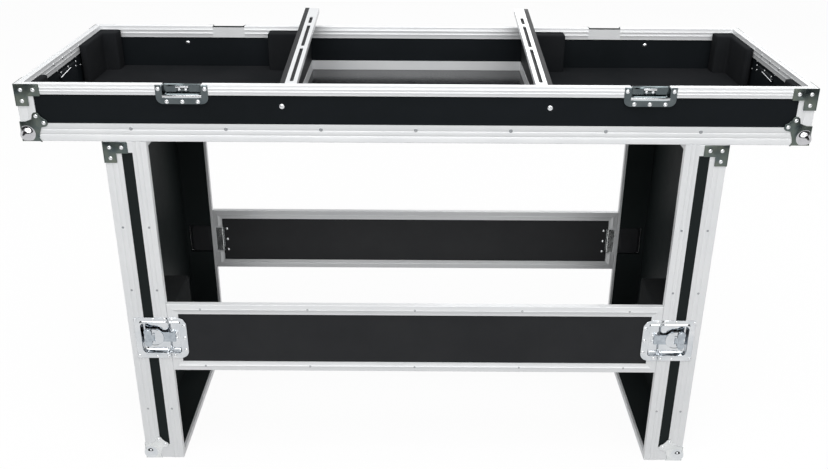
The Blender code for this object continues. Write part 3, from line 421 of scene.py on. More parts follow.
# two colours that the mask moves between, and the span of roughness; then what differs from plain stock
finishes = {
    "aluminium": drawnMetal("satin_aluminium", (0.77, 0.785, 0.80), (0.82, 0.832, 0.842), (0.30, 0.42),
                            metallic=0.14),
    "rail": drawnMetal("rail_aluminium", (0.74, 0.755, 0.77), (0.80, 0.81, 0.82), (0.28, 0.40), metallic=0.3),
    "greySteel": drawnMetal("passivated_steel", (0.085, 0.110, 0.116), (0.165, 0.185, 0.155), (0.24, 0.40),
                            "satin", bump=0.05, smudge=38.0),
    "darkSteel": drawnMetal("dark_plating", (0.080, 0.098, 0.105), (0.135, 0.155, 0.160), (0.12, 0.22),
                            "satin", bump=0.05, smudge=50.0),
    # on the leg corners this pale plating, far paler than the tray's grey steel, is a painted reflection of
    # the white floor
    "paleSteel": drawnMetal("pale_plating", (0.62, 0.64, 0.645), (0.76, 0.775, 0.775), (0.2, 0.32),
                            "satin", bump=0.04, smudge=40.0),
    "zinc": drawnMetal("blue_zinc", (0.34, 0.38, 0.42), (0.50, 0.54, 0.575), (0.12, 0.22),
                       "bright", bump=0.03, smudge=70.0),
    "chrome": drawnMetal("bright_plating", (0.57, 0.60, 0.63), (0.71, 0.725, 0.74), (0.07, 0.15),
                         "bright", bump=0.02, smudge=30.0),
    # the tray's balls: a darker copy of the bright plating, painted shade for the dark reflections in them
    "ball": drawnMetal("ball_chrome_painted_shade", (0.46, 0.46, 0.48), (0.60, 0.60, 0.62), (0.09, 0.16),
                       "bright", bump=0.02, smudge=60.0),
    "rivet": drawnMetal("rivet_plating", (0.66, 0.68, 0.70), (0.76, 0.77, 0.78), (0.22, 0.32),
                        "satin", bump=0.02, smudge=60.0),
    # flush rivets far darker than the aluminium round them: painted shade for the shadow in their dimples
    "shadedFlushRivet": drawnMetal("aluminium_rivet_painted_shade", (0.30, 0.32, 0.34), (0.42, 0.43, 0.44), (0.26, 0.36),
                             "satin", bump=0.02, smudge=60.0),
    "laminate": pebbled("black_laminate", (0.0076, 0.0096, 0.0110), (0.0098, 0.0120, 0.0144), (0.42, 0.58),
                        0.05),
    # the leg shells: a lighter copy of the black laminate, painted light for the shaded insides of the legs
    "litLegLaminate": pebbled("leg_laminate_painted_light", (0.0130, 0.0168, 0.0170), (0.0164, 0.0204, 0.0208), (0.42, 0.58),
                           0.05),
    "charcoal": pebbled("charcoal_laminate", (0.018, 0.019, 0.021), (0.025, 0.026, 0.028), (0.46, 0.58),
                        0.12),
    # the rear board: a lighter copy of the charcoal laminate, painted light where the tray shades it
    "litRearCharcoal": pebbled("rear_board_laminate_painted_light", (0.028, 0.029, 0.031), (0.037, 0.038, 0.040), (0.46, 0.58),
                            0.12),
    "bayFloor": pebbled("bay_floor_laminate", (0.010, 0.011, 0.013), (0.016, 0.017, 0.019), (0.16, 0.26), 0.5,
                        scale=500.0, bump=0.08),
    "foam": pebbled("charcoal_foam", (0.011, 0.0125, 0.014), (0.019, 0.020, 0.022), (0.9, 1.0), 0.05,
                    scale=900.0, bump=0.6),
    # the leg pads: a lighter copy of the charcoal foam, painted light inside the shaded legs
    "litPadFoam": pebbled("pad_foam_painted_light", (0.021, 0.023, 0.024), (0.031, 0.033, 0.034), (0.9, 1.0), 0.05,
                       scale=900.0, bump=0.6),
    "rubber": pebbled("black_rubber", (0.010, 0.010, 0.011), (0.015, 0.015, 0.016), (0.5, 0.62), 0.3,
                      scale=900.0, bump=0.1),
}
print("materials:", len(finishes))


# what keeps its CAD mesh, under its finish
coats = {
    "laminate": ("tray_front_wall", "tray_rear_wall", "tray_left_wall", "tray_right_wall"),
    "charcoal": ("front_stretcher_board", "divider_left", "divider_right"),
    # the rear board takes a lighter copy of the charcoal laminate: painted light
    "litRearCharcoal": ("rear_stretcher_board",),
    # the leg shells take a lighter copy of the black laminate: painted light
    "litLegLaminate": ("left_leg_shell", "right_leg_shell"),
    "bayFloor": ("tray_floor",),
    "aluminium": ("mixer_bay_trim",),
    "rail": ("rack_rail_left", "rack_rail_right"),
}
for finishName, boardNames in coats.items():
    for boardName in boardNames:
        nodes[boardName].data.materials.clear()
        nodes[boardName].data.materials.append(finishes[finishName])
print("boards coated")


# aluminium round the tray

trayEdging = {
    "rimOuter": 0.020,
    "rimInner": 0.026,
    "rimTop": 0.0028,
    "groove": (0.005, 0.0013),  # width and depth
    "baseFace": 0.035,
    "baseUnder": 0.030,
    "postWidth": 0.032,
    "notchHalf": 0.0365,  # half the opening for a latch pan
    "notchDrop": 0.003,
    "handleHalf": 0.0505,
    "handleFoot": 0.0245,  # height of the base angle left under the handle
}


# four sides of a rectangle seen from above, each as (start, end, inward), front first
def rectangleSides(x, y, z):
    corners = [(-x, -y, z), (x, -y, z), (x, y, z), (-x, y, z)]
    inwards = [(0, 1, 0), (-1, 0, 0), (0, -1, 0), (1, 0, 0)]
    return [(corners[i], corners[(i + 1) % 4], inwards[i]) for i in range(4)]


# the rim's channel carried round the tray; only its inner lip is left behind a catch
def makeTrayRim():
    size = trayEdging
    rim = channelProfile(size["rimOuter"], rimWidth, size["rimInner"], ribsInner=(0.32, 0.64),
                         groove=size["groove"], topThick=size["rimTop"])
    lip = np.array([(rimWidth - sheet, -size["rimInner"]), (rimWidth - sheet, -size["notchDrop"]),
                    (rimWidth, -size["notchDrop"]), (rimWidth, -size["rimInner"])])
    half = size["notchHalf"]
    gaps = [(place - half, place + half, lip) for place in (halfX - keeperX, halfX + keeperX)]
    shapes = []
    for number, (start, end, inward) in enumerate(rectangleSides(halfX, halfY, trayTop)):
        shapes += sideShapes(rim, start, end, inward, (0, 0, 1), gaps if number in (0, 2) else ())
    return shapes


# the base angle carried round the tray, lower under the handles, and an upright angle in each corner
def makeTrayBase():
    size = trayEdging
    x, y = halfX - stock["step"], halfY - stock["step"]
    angle = angleProfile(size["baseFace"], size["baseUnder"])
    foot = angleProfile(size["handleFoot"], size["baseUnder"], ribsA=(0.5,))
    shapes = []
    for number, (start, end, inward) in enumerate(rectangleSides(x, y, trayBottom)):
        gaps = [(y - size["handleHalf"], y + size["handleHalf"], foot)] if number in (1, 3) else ()
        shapes += sideShapes(angle, start, end, inward, (0, 0, 1), gaps)
    post = angleProfile(size["postWidth"], size["postWidth"], ribsA=(0.5,))
    low, high = trayBottom + size["baseFace"], trayTop - size["rimOuter"]
    for sideX in (-1, 1):
        for sideY in (-1, 1):
            start, end = (sideX * x, sideY * y, low), (sideX * x, sideY * y, high)
            shapes.append(runShape(post, start, end, (-sideX, 0, 0), (0, -sideY, 0)))
    return shapes


# aluminium round each leg, which is half of the lid stood on its closed end

legEdging = {
    "outerBand": 0.033,
    "panelBand": 0.030,
    "rimBand": 0.028,
    "rimInner": 0.006,
    "topBand": 0.022,
    "footBand": 0.035,
    "latchHalf": 0.0365,
    "panReach": 0.0635,  # of a latch, from the open side
    "panDepth": 0.0105,
}


# an angle at the closed side and a channel at the open one, carried round the leg and cut back behind
# a latch, and plain angles between them at the top and the foot
def makeLegEdging(side):
    size = legEdging
    inner, outer, top = case["legInner"] * side, case["legOuter"] * side, case["legTop"]
    shapes = []
    outerAngle = angleProfile(size["outerBand"], size["panelBand"], ribsA=(0.36, 0.68))
    bare = case["legOuter"] - case["legInner"] - size["outerBand"]  # from the open side to the band
    cutBand = size["outerBand"] - (size["panReach"] - bare)
    cutAngle = angleProfile(cutBand, size["panelBand"], ribsA=(0.5,))
    innerRim = channelProfile(size["rimBand"], lidRing, size["rimInner"], ribsOuter=(0.36, 0.68))
    cutRim = np.array([(size["panDepth"], 0.0), (lidRing, 0.0), (lidRing, -size["rimInner"]),
                       (lidRing - sheet, -size["rimInner"]), (lidRing - sheet, -sheet),
                       (size["panDepth"], -sheet)])
    low, high = latchHeight - size["latchHalf"], latchHeight + size["latchHalf"]
    # the four sides of the frame, seen from the end of the case: front, top, rear, foot
    corners = [(-halfY, 0.0), (-halfY, top), (halfY, top), (halfY, 0.0)]
    inwards = [(0, 1, 0), (0, 0, -1), (0, -1, 0), (0, 0, 1)]
    for number in range(4):
        (yStart, zStart), (yEnd, zEnd) = corners[number], corners[(number + 1) % 4]
        spans = {0: [(low, high)], 2: [(top - high, top - low)]}.get(number, [])
        # the profiles' own heights run across the leg, towards the other one
        for profile, cut, x in ((outerAngle, cutAngle, outer), (innerRim, cutRim, inner)):
            gaps = [(*span, cut) for span in spans]
            shapes += sideShapes(profile, (x, yStart, zStart), (x, yEnd, zEnd), inwards[number],
                                 (-side, 0, 0), gaps)
    # plain angles over the short edges, between the two bands
    fromX, toX = inner + side * size["rimBand"], outer - side * size["outerBand"]
    for z, inwardZ, reach in ((0.0, 1, size["footBand"]), (top, -1, size["topBand"])):
        corner = angleProfile(reach, size["panelBand"], ribsA=(), ribsB=())
        for y, inwardY in ((-halfY, 1), (halfY, -1)):
            shapes.append(runShape(corner, (fromX, y, z), (toX, y, z), (0, inwardY, 0), (0, 0, inwardZ)))
    for points, *_ in shapes:
        points[:, 2] = np.maximum(points[:, 2], 0.0)  # no rib passes the floor
    return shapes


# aluminium round the boards between the legs

boardTrim = {"band": 0.022, "keeperHalf": 0.0365, "panDepth": 0.0105, "backHole": 0.032, "backStrip": 0.004}


# a channel carried round the board; at each end only a back strip is left behind the catch
def makeBoardTrim(side):
    size = boardTrim
    trim = channelProfile(size["band"], lidRing, size["band"], ribsOuter=(0.5,), ribsInner=(0.5,))
    # sections are drawn with the depth of the board as p and the way in from its edge as -q
    back = np.array([(lidRing - sheet, 0.0), (lidRing, 0.0), (lidRing, -size["band"]),
                     (lidRing - sheet, -size["band"])])
    strip = np.array([(size["panDepth"], 0.0), (lidRing, 0.0), (lidRing, -size["backStrip"]),
                      (size["panDepth"], -size["backStrip"])])
    x, low, high = case["boardHalf"], case["boardLow"], case["boardHigh"]
    corners = [(-x, low), (x, low), (x, high), (-x, high)]
    outwards = [(0, 0, -1), (1, 0, 0), (0, 0, 1), (-1, 0, 0)]
    middle = (high - low) / 2
    endGaps = [(middle - size["keeperHalf"], middle - size["backHole"], back),
               (middle - size["backHole"], middle + size["backHole"], strip),
               (middle + size["backHole"], middle + size["keeperHalf"], back)]
    shapes = []
    for number in range(4):
        (xStart, zStart), (xEnd, zEnd) = corners[number], corners[(number + 1) % 4]
        shapes += mitredBySection(trim, (xStart, side * halfY, zStart), (xEnd, side * halfY, zEnd),
                                  (0, -side, 0), outwards[number], endGaps if number in (1, 3) else ())
    return shapes


# like sideShapes, but each end is slanted by the section's height, because the frame's plane holds it
def mitredBySection(profile, start, end, inward, up, gaps):
    shapes = sideShapes(profile, start, end, inward, up, gaps, mitres=(0.0, 0.0))
    start, end = np.asarray(start, float), np.asarray(end, float)
    along, up = unit(end - start), unit(up)
    length = np.linalg.norm(end - start)
    touch = 1e-6
    mitred = []
    for points, faces, uvs in shapes:
        height = (points - start) @ up
        place = (points - start) @ along
        shift = np.where(place < touch, -height, 0.0) + np.where(place > length - touch, height, 0.0)
        mitred.append((points + np.outer(shift, along), faces, uvs))
    return mitred


rowSides = (("front", -1), ("rear", 1))
columnSides = (("left", -1), ("right", 1))
edging = [("tray_rim", makeTrayRim(), "tray", "tray_rim_frame"),
          ("tray_base", makeTrayBase(), "tray", "tray_base_frame")]
for name, side in columnSides:
    edging.append((f"{name}_lid_edging", makeLegEdging(side), "stand", f"{name}_leg_edging"))
for name, side in rowSides:
    edging.append((f"{name}_board_edging", makeBoardTrim(side), "stand", f"{name}_stretcher_trim"))
for name, shapes, body, node in edging:
    makePiece(name, shapes, finishes["aluminium"], body, [node])
print("edging swept")


# corner plates, ball corners and rivets

cornerSteel = {
    "thick": 0.0014,
    "proud": 0.0003,
    "rounding": 0.0004,
    "sunk": 0.0008,  # the folds reach this far into the case
    "bracketProud": 0.0001,
    "bracketDrop": 0.0003,
    "bracketLong": 0.046,
    "bracketTall": 0.042,
    "bracketArm": 0.023,
    "bracketTurn": 0.0012,
    "bracketRivets": ((0.0118, 0.0112), (0.0345, 0.0112), (0.0118, 0.0325)),
    "ballRadius": 0.016,
    "ballInset": 0.010,
    "tipInset": 0.0058,
    "fillet": 0.0150,
    "filletLip": 0.001,
    "tuckOver": 0.003,
    "tuckUnder": 0.0003,
    "rise": 0.005,
    "near": 0.031,  # the two rivets of a ball's plate stand at (near, far) and (far, near)
    "far": 0.044,
    "lobe": 0.0075,
    "neck": (0.0058, 0.0088),
    "foot": 0.033,
    "rivetScale": 0.95,
}
rivetHead = {
    "radius": 0.0041,
    "height": 0.0017,
    "sides": 18,
    # shares of the radius and the height, from the plate to the dimple in the middle
    "profile": ((1.0, 0.0), (1.0, 0.18), (0.93, 0.42), (0.74, 0.74), (0.46, 0.94), (0.3, 1.0),
                (0.24, 0.86), (0.1, 0.8)),
}
rivets = {"tray": [], "stand": []}


# a head turned round its normal: its profile, as shares of its radius and height, times its scale
def addRivet(body, place, normal, scale=1.0, head=rivetHead):
    radius, height = head["radius"] * scale, head["height"] * scale
    profile = [(r * radius, h * height) for r, h in head["profile"]]
    rivets[body].append(turnedShape(profile, place, normal, head["sides"]))


# half of a bracket laid flat: an L with three rounded ends, its origin at the fold
def bracketOutline():
    size = cornerSteel
    long, tall, arm = size["bracketLong"], size["bracketTall"], size["bracketArm"]
    radius = size["bracketTurn"]
    return np.concatenate([
        [(0.0, 0.0)],
        arcPoints((long - radius, radius), radius, -90, 0, 3),
        arcPoints((long - radius, arm - radius), radius, 0, 90, 3),
        [(arm, arm)],
        arcPoints((arm - radius, tall - radius), radius, 0, 90, 3),
        [(0.0, tall)],
    ])


# the quarter round between two plates: an arc about the corner, carried up or down a vertical edge
def foldShape(cornerPoint, height, outX, outY, outer):
    sunk = -cornerSteel["sunk"]
    section = np.concatenate([arcPoints((0.0, 0.0), outer, 0, 90, 5),
                              [(sunk, outer), (sunk, sunk), (outer, sunk)]])
    return runShape(section, cornerPoint, cornerPoint + (0, 0, height), (outX, 0, 0), (0, outY, 0))


# a bracket folded round a vertical edge: two plates and the fold between them
def addBracket(shapes, body, corner, outX, outY):
    size = cornerSteel
    proud = size["bracketProud"]
    outer = proud + size["thick"]
    outline = bracketOutline()
    cornerPoint = np.asarray(corner, float)
    for out, along in (((0, outY, 0), (-outX, 0, 0)), ((outX, 0, 0), (0, -outY, 0))):
        place = placer(cornerPoint, along, out, (0, 0, -1))
        shapes.append(plateShape(outline, proud, outer, place, size["rounding"]))
        for a, b in size["bracketRivets"]:
            addRivet(body, place(a, b, outer), out, size["rivetScale"])
    shapes.append(foldShape(cornerPoint, -size["bracketTall"], outX, outY, outer))


# a ball's plate laid flat: two round lobes for the rivets, and an edge that dips in between them
def ballPlateOutline():
    size = cornerSteel
    near, far, lobe, foot, rise = size["near"], size["far"], size["lobe"], size["foot"], size["rise"]
    neckOut, neckIn = size["neck"]
    return np.concatenate([
        [(0.0, 0.0), (foot + 0.002, 0.0), (foot - 0.001, 0.006), (foot + 0.0005, rise + 0.010)],
        [(far - neckOut, rise + near - neckIn)],
        arcPoints((far, rise + near), lobe, -70, 80, 9),
        arcPoints((near, rise + far), lobe, 10, 160, 9),
        [(near - neckIn, rise + far - neckOut), (0.010, rise + foot + 0.0005), (0.0, rise + foot)],
    ])


# the outline of the plate under the case, which has the same two lobes and no rise
def footPlateOutline():
    return np.maximum(ballPlateOutline() - (0.0, cornerSteel["rise"]), 0.0)[1:]


# a ball drawn out towards the corner: two spheres that touch the same planes, and the cone tangent to both
def ballShape(centre, corner):
    size = cornerSteel
    shift = size["ballInset"] - size["tipInset"]
    radius, tipRadius, reach = size["ballRadius"], size["ballRadius"] - shift, shift * math.sqrt(3)
    leaves = math.degrees(math.asin((radius - tipRadius) / reach))
    back = arcPoints((0.0, 0.0), radius, -88, leaves, 17)
    front = arcPoints((0.0, reach), tipRadius, leaves, 88, 9)
    return turnedShape(np.concatenate([back, front]), centre, corner, 40)


# an arc tangent to the plate and to the ball that comes through it, turned round the plate's normal: its
# centre is one fillet above the plate, and both radii away from the ball's centre
def filletShape(centre, out, behind, lift):
    size = cornerSteel
    ball, fillet, proud = size["ballRadius"], size["fillet"], size["proud"]
    across = math.sqrt((ball + fillet) ** 2 - (behind + lift + fillet) ** 2)
    turn = math.degrees(math.atan2(-(behind + lift + fillet), -across)) + 360
    curve = arcPoints((across, lift + fillet), fillet, 270, turn, 6)
    rings = np.concatenate([[(across, proud)], curve, [(curve[-1, 0] - size["filletLip"], proud)]])
    return turnedShape(rings, centre + out * behind, out, 64)


# the part of a fillet that would pass the fold sinks into the ball over the last few millimetres
def tucked(shape, centre, cornerPoint, beside, lift):
    points, *rest = shape
    past = np.max([(points - cornerPoint) @ out for out in beside], axis=0) - lift
    share = np.clip(past / cornerSteel["tuckOver"] + 1.0, 0.0, 1.0)
    share = share * share * (3 - 2 * share)
    away = points - centre
    reach = np.linalg.norm(away, axis=1)
    inside = cornerSteel["ballRadius"] - cornerSteel["tuckUnder"]
    sunk = centre + away * (np.minimum(reach, inside) / reach)[:, None]
    return (points + (sunk - points) * share[:, None], *rest)


# a ball corner: a plate on each face, the fillets where the ball comes through, the fold and the ball
def addBallCorner(plates, balls, body, corner, outX, outY, withFoot):
    size = cornerSteel
    inset, lift = size["ballInset"], size["proud"] + size["thick"]
    cornerPoint = np.asarray(corner, float)
    centre = cornerPoint + (-outX * inset, -outY * inset, inset + size["rise"])
    faces = [((0, outY, 0), (-outX, 0, 0), (0, 0, 1), ballPlateOutline(), size["rise"]),
             ((outX, 0, 0), (0, -outY, 0), (0, 0, 1), ballPlateOutline(), size["rise"])]
    if withFoot:
        faces.append(((0, 0, -1), (-outX, 0, 0), (0, -outY, 0), footPlateOutline(), 0.0))
    for outward, along, up, outline, rise in faces:
        place = placer(cornerPoint, along, outward, up)
        out = np.asarray(outward, float)
        plates.append(plateShape(outline, size["proud"], lift, place, size["rounding"]))
        for a, b in ((size["near"], size["far"]), (size["far"], size["near"])):
            addRivet(body, place(a, b + rise, lift), out, size["rivetScale"])
        behind = (centre - cornerPoint) @ -out
        if behind + lift < size["ballRadius"]:
            beside = [np.asarray(face[0], float) for face in faces if face[0] != outward]
            balls.append(tucked(filletShape(centre, out, behind, lift), centre, cornerPoint, beside, lift))
    plates.append(foldShape(cornerPoint, size["rise"] + size["foot"], outX, outY, lift))
    balls.append(ballShape(centre, (outX, outY, -1)))
    if not withFoot:
        # the leg's ball is flattened where it stands on the floor
        for points, *_ in balls:
            points[:, 2] = np.maximum(points[:, 2], 0.0)


# a ball corner at the foot of each corner and a bracket at its top, on the tray and on the legs
def makeCorners():
    trayX, trayY = halfX - stock["step"], halfY - stock["step"]
    legX, legTop = case["legOuter"], case["legTop"]
    for rowName, outY in rowSides:
        for columnName, outX in columnSides:
            place = f"{rowName}_{columnName}"
            for owner, body, x, y, z, withFoot, plating, ballFinish in (
                    # the tray's ball takes the darker ball plating: painted shade
                    ("tray", "tray", trayX, trayY, trayBottom, True, "greySteel", "ball"),
                    # the leg's plates take the pale plating: painted reflection of the white floor
                    ("leg", "stand", legX, halfY, 0.0, False, "paleSteel", "chrome")):
                plates, balls = [], []
                addBallCorner(plates, balls, body, (outX * x, outY * y, z), outX, outY, withFoot)
                makePiece(f"{owner}_corner_{place}", plates, finishes[plating], body,
                          [f"{owner}_ball_corner_{place}"])
                makePiece(f"{owner}_ball_{place}", balls, finishes[ballFinish], body)
            for owner, body, x, top in (("tray", "tray", halfX, trayTop), ("leg", "stand", legX, legTop)):
                brackets = []
                corner = (outX * x, outY * halfY, top - cornerSteel["bracketDrop"])
                addBracket(brackets, body, corner, outX, outY)
                makePiece(f"{owner}_bracket_{place}", brackets, finishes["greySteel"], body)


makeCorners()
print("corners folded")


# recessed hardware, drawn in a frame of its own: u along, v across, n out of the wall

latch = {
    "halfWidth": 0.0485,
    "body": 0.070,
    "turns": (0.003, 0.0028),  # a flange's corner radius, and that of its eased edge
    "keeper": 0.037,
    "keeperTurns": {"stand": (0.018, 0.0177), "tray": (0.013, 0.0127)},
    "panFar": 0.0575,
    "panHalf": 0.035,
    "panDepth": 0.009,
    "keeperPan": 0.0228,
    "seam": 0.0003,
    "wall": 0.0011,
    "spindleAt": -0.033,
    "camThrow": 0.004,
    "hookLow": -0.0042,
    "hookHigh": -0.0027,
    "slot": (0.0095, 0.0135),  # half its width and half its height
    "slotFrame": 0.005,
    "tongueHalf": (0.0175, 0.011),  # half across, where it starts and past its taper
    "tongueFrom": 0.0140,
    "tongueTaper": 0.0075,
    "tongueTip": 0.0110,
    "clawFrom": 0.0088,
    "clawLow": -0.0075,
    "discRadius": 0.0205,
    "discHigh": -0.0014,
    "lug": (0.0073, 0.0098),
    "lugHalf": 0.0022,
    "lugTop": 0.0018,
    "pinHeight": 0.0003,
    "pinRadius": 0.0014,
    "wingNear": -0.0037,
    "wingHalf": 0.013,
    "wingReach": 0.0115,
    "wingLobe": 0.0085,
    "wingNeck": 0.007,
    "wingTip": 0.003,
    "leafHalf": 0.0008,
    "bossAt": 0.92,
    "bridge": (-0.0150, -0.0060, 0.0105),
    "strap": (0.0075, 0.0165, 0.0115),  # blocks are given as from, to and half across
    "lip": (0.0040, 0.0078, 0.0120),
    # the bead is drawn in bright plating against the dark catch: a painted highlight for the lamps'
    # reflection on the pan's lower wall
    "bead": (0.0190, 0.0242, 0.0365),
    "rivetScale": 0.8,
    "rivets": ((-0.0672, 0.0432), (-0.030, 0.0446), (-0.0062, 0.0446)),
    "catchRivets": ((0.0080, 0.0430), (0.0080, -0.0430), (0.0322, 0.0), (0.0322, 0.0288), (0.0322, -0.0288)),
}
pressed = {
    "back": 0.0003,
    "edge": 0.0011,
    "face": 0.0015,
    "ease": 0.0004,
    # a pan's rings as (more u, more v, corner radius, height), from its raised bead down the wall
    "latchPan": ((0.0052, 0.0052, 0.0100, 0.0015), (0.0040, 0.0040, 0.0098, 0.0025),
                 (0.0022, 0.0022, 0.0092, 0.0030), (0.0006, 0.0006, 0.0084, 0.0025),
                 (0.0, 0.0, 0.0080, 0.0014), (-0.0006, -0.0006, 0.0078, -0.0020)),
    "catchPan": ((0.0048, 0.0052, 0.0080, 0.0015), (0.0036, 0.0040, 0.0075, 0.0025),
                 (0.0020, 0.0022, 0.0065, 0.0030), (0.0006, 0.0006, 0.0056, 0.0025),
                 (0.0, 0.0, 0.0052, 0.0014), (-0.0006, -0.0006, 0.0050, -0.0020)),
    "handlePan": ((0.0046, 0.0046, 0.0110, 0.0015), (0.0034, 0.0034, 0.0104, 0.0024),
                  (0.0016, 0.0016, 0.0094, 0.0027), (0.0003, 0.0003, 0.0084, 0.0018),
                  (-0.0004, -0.0004, 0.0080, -0.0020)),
    # and the last ones, with heights above the pan's floor
    "latchFloor": ((-0.0014, -0.0014, 0.0074, 0.0012), (-0.0030, -0.0030, 0.0062, 0.0)),
    "catchFloor": ((-0.0014, -0.0014, 0.0048, 0.0012), (-0.0028, -0.0028, 0.0042, 0.0)),
    "handleFloor": ((-0.0016, -0.0016, 0.0074, 0.0022), (-0.0028, -0.0028, 0.0066, 0.0005),
                    (-0.0046, -0.0046, 0.0056, 0.0)),
}


# rings of a pressed plate as (far, half, corner radius, height): three round the flange, then the pan's
def pressedRings(kind, flange, turns, pan, depth):
    (far, half), (panFar, panHalf), ease = flange, pan, pressed["ease"]
    rings = [(far, half, turns[0], pressed["back"]), (far, half, turns[0], pressed["edge"]),
             (far - ease, half - ease, turns[1], pressed["face"])]
    steps = [*pressed[f"{kind}Pan"]]
    steps += [(u, v, turn, height - depth) for u, v, turn, height in pressed[f"{kind}Floor"]]
    return rings + [(panFar + u, panHalf + v, turn, height) for u, v, turn, height in steps]


# an outline open at the seam: out along one side, round two corners and back along the other
def openOutline(near, far, half, radius, side):
    reach = far - radius
    bottom = np.stack([np.linspace(near, reach, 6)[:-1], np.full(5, -half)], axis=1)
    first = arcPoints((reach, radius - half), radius, -90, 0, 7)
    middle = np.stack([np.full(7, far), np.linspace(radius - half, half - radius, 9)[1:-1]], axis=1)
    second = arcPoints((reach, half - radius), radius, 0, 90, 7)
    top = np.stack([np.linspace(reach, near, 6)[1:], np.full(5, half)], axis=1)
    return np.concatenate([bottom, first, middle, second, top]) * (side, 1)


# a pressed dish: its outline steps inwards ring by ring and sinks to the floor of the pan
def dishShape(rings, outlineOf, place, closed=False):
    points = np.stack([place(*outlineOf(far, half, radius).T, height) for far, half, radius, height in rings])
    count = points.shape[1]
    last = (len(rings) - 1) * count
    return filled(gridShape(points, closeColumns=closed), [range(last, last + count)])


# half a dish, open at the seam
def halfDish(rings, side, place):
    seam = latch["seam"]
    return dishShape(rings, lambda far, half, radius: openOutline(seam, far, half, radius, side), place)


# gives a pressed shape its sheet thickness, and a finish of its own to the back
def addSheet(piece, thickness, back="laminate"):
    piece.data.materials.append(finishes[back])
    shell = piece.modifiers.new("sheet", "SOLIDIFY")
    shell.thickness = thickness
    shell.offset = -1.0
    shell.material_offset = 1


# the four corners of a rectangle
def boxOutline(lowU, highU, lowV, highV):
    return np.array([(lowU, lowV), (highU, lowV), (highU, highV), (lowU, highV)])


# a butterfly wing: a neck at the pin, and two round lobes that meet at a point
def wingOutline():
    near, half, neck = latch["wingNear"], latch["wingHalf"], latch["wingNeck"]
    lobe = arcPoints((-latch["wingReach"], half), latch["wingLobe"], 60, 190, 12)
    tip = np.array([(-latch["wingReach"] - latch["wingLobe"] + latch["wingTip"], 0.0)])
    upper = np.array([(0.0, neck), (near, neck), (near, half)])
    mirrored = lobe[::-1] * (1, -1)
    lower = np.array([(near, -half), (near, -neck), (0.0, -neck)])
    return np.concatenate([upper, lobe, tip, mirrored, lower])


# the slotted plate that the cam drives, as a ring: a rectangle outside and the slot inside
def hookPlate(place):
    sides = 48
    slotU, slotV = latch["slot"]
    low, high = latch["hookLow"], latch["hookHigh"]
    middle = latch["spindleAt"] - latch["camThrow"]
    angles = np.radians(np.linspace(0, 360, sides, endpoint=False))
    direction = np.stack([np.cos(angles), np.sin(angles)], axis=1)
    # the slot is a stadium: semicircles of slotU about two centres
    centres = np.stack([np.zeros(sides), np.sign(direction[:, 1]) * (slotV - slotU)], axis=1)
    inner = direction * slotU + centres
    reachU, reachV = slotU + latch["slotFrame"], slotV + latch["slotFrame"]
    stretch = 1 / np.maximum(np.abs(direction[:, 0]) / reachU, np.abs(direction[:, 1]) / reachV)
    outer = direction * stretch[:, None]
    rings = (inner, low), (outer, low), (outer, high), (inner, high)
    points = np.stack([place(outline[:, 0] + middle, outline[:, 1], height) for outline, height in rings])
    return gridShape(points, closeRows=True, closeColumns=True)


# the dish that a latch lies in, with three rivets above and three below
def addLatchPan(name, place, out):
    rings = pressedRings("latch", (latch["body"], latch["halfWidth"]), latch["turns"],
                         (latch["panFar"], latch["panHalf"]), latch["panDepth"])
    dish = makePiece(f"latch_pan_{name}", [halfDish(rings, -1, place)], finishes["chrome"], "stand",
                     [f"latch_dish_{name}"])
    addSheet(dish, latch["wall"], "charcoal")
    for u, v in latch["rivets"]:
        for side in (1, -1):
            addRivet("stand", place(u, side * v, pressed["face"]), out, latch["rivetScale"])


# post and cam below, then the broad head with a rolled rim and a dished middle, and the pin's two lugs
def addLatchHead(name, turning, out):
    disc, top = latch["discRadius"], latch["discHigh"]
    profile = [(0.0046, -0.0087), (0.0046, -0.0046), (0.0084, -0.0044), (0.0084, -0.0025),
               (disc - 0.0010, -0.0024), (disc, -0.0019), (disc - 0.0003, top), (disc - 0.0014, top + 0.0003),
               (disc - 0.0030, top - 0.0003), (0.0100, top - 0.0004), (0.0088, top), (0.0030, top)]
    shapes = [turnedShape(profile, turning(0, 0, 0), out, 40)]
    for side in (-1, 1):
        low, high = sorted(side * v for v in latch["lug"])
        outline = boxOutline(-latch["lugHalf"], latch["lugHalf"], low, high)
        shapes.append(plateShape(outline, top - 0.0003, latch["lugTop"], turning))
    makePiece(f"latch_head_{name}", shapes, finishes["chrome"], f"spindle_{name}",
              [f"latch_spindle_{name}"])


# the folding wing: its leaf, the barrel round the pin, a raised bridge and a boss on each lobe
def addLatchWing(name, turning, out):
    middle, neck, half = latch["pinHeight"], latch["wingNeck"], latch["leafHalf"]
    leaf = plateShape(wingOutline(), middle - half, middle + half, turning, 0.0005)
    start, end = turning(0, -neck, middle), turning(0, neck, middle)
    barrel = turnedShape([(latch["pinRadius"], 0.0), (latch["pinRadius"], 2 * neck)], start, end - start, 14)
    near, far, across = latch["bridge"]
    bridge = plateShape(boxOutline(near, far, -across, across), middle + 0.0006, middle + 0.0014, turning,
                        0.0006)
    shapes = [leaf, barrel, bridge]
    boss = [(0.0062, 0.0), (0.0058, 0.0006), (0.0040, 0.0010), (0.0012, 0.0011)]
    for side in (-1, 1):
        foot = turning(-latch["wingReach"], side * latch["wingHalf"] * latch["bossAt"], middle + 0.0007)
        shapes.append(turnedShape(boss, foot, out, 20))
    makePiece(f"latch_grip_{name}", shapes, finishes["zinc"], f"wing_{name}",
              [f"latch_wing_{name}"])


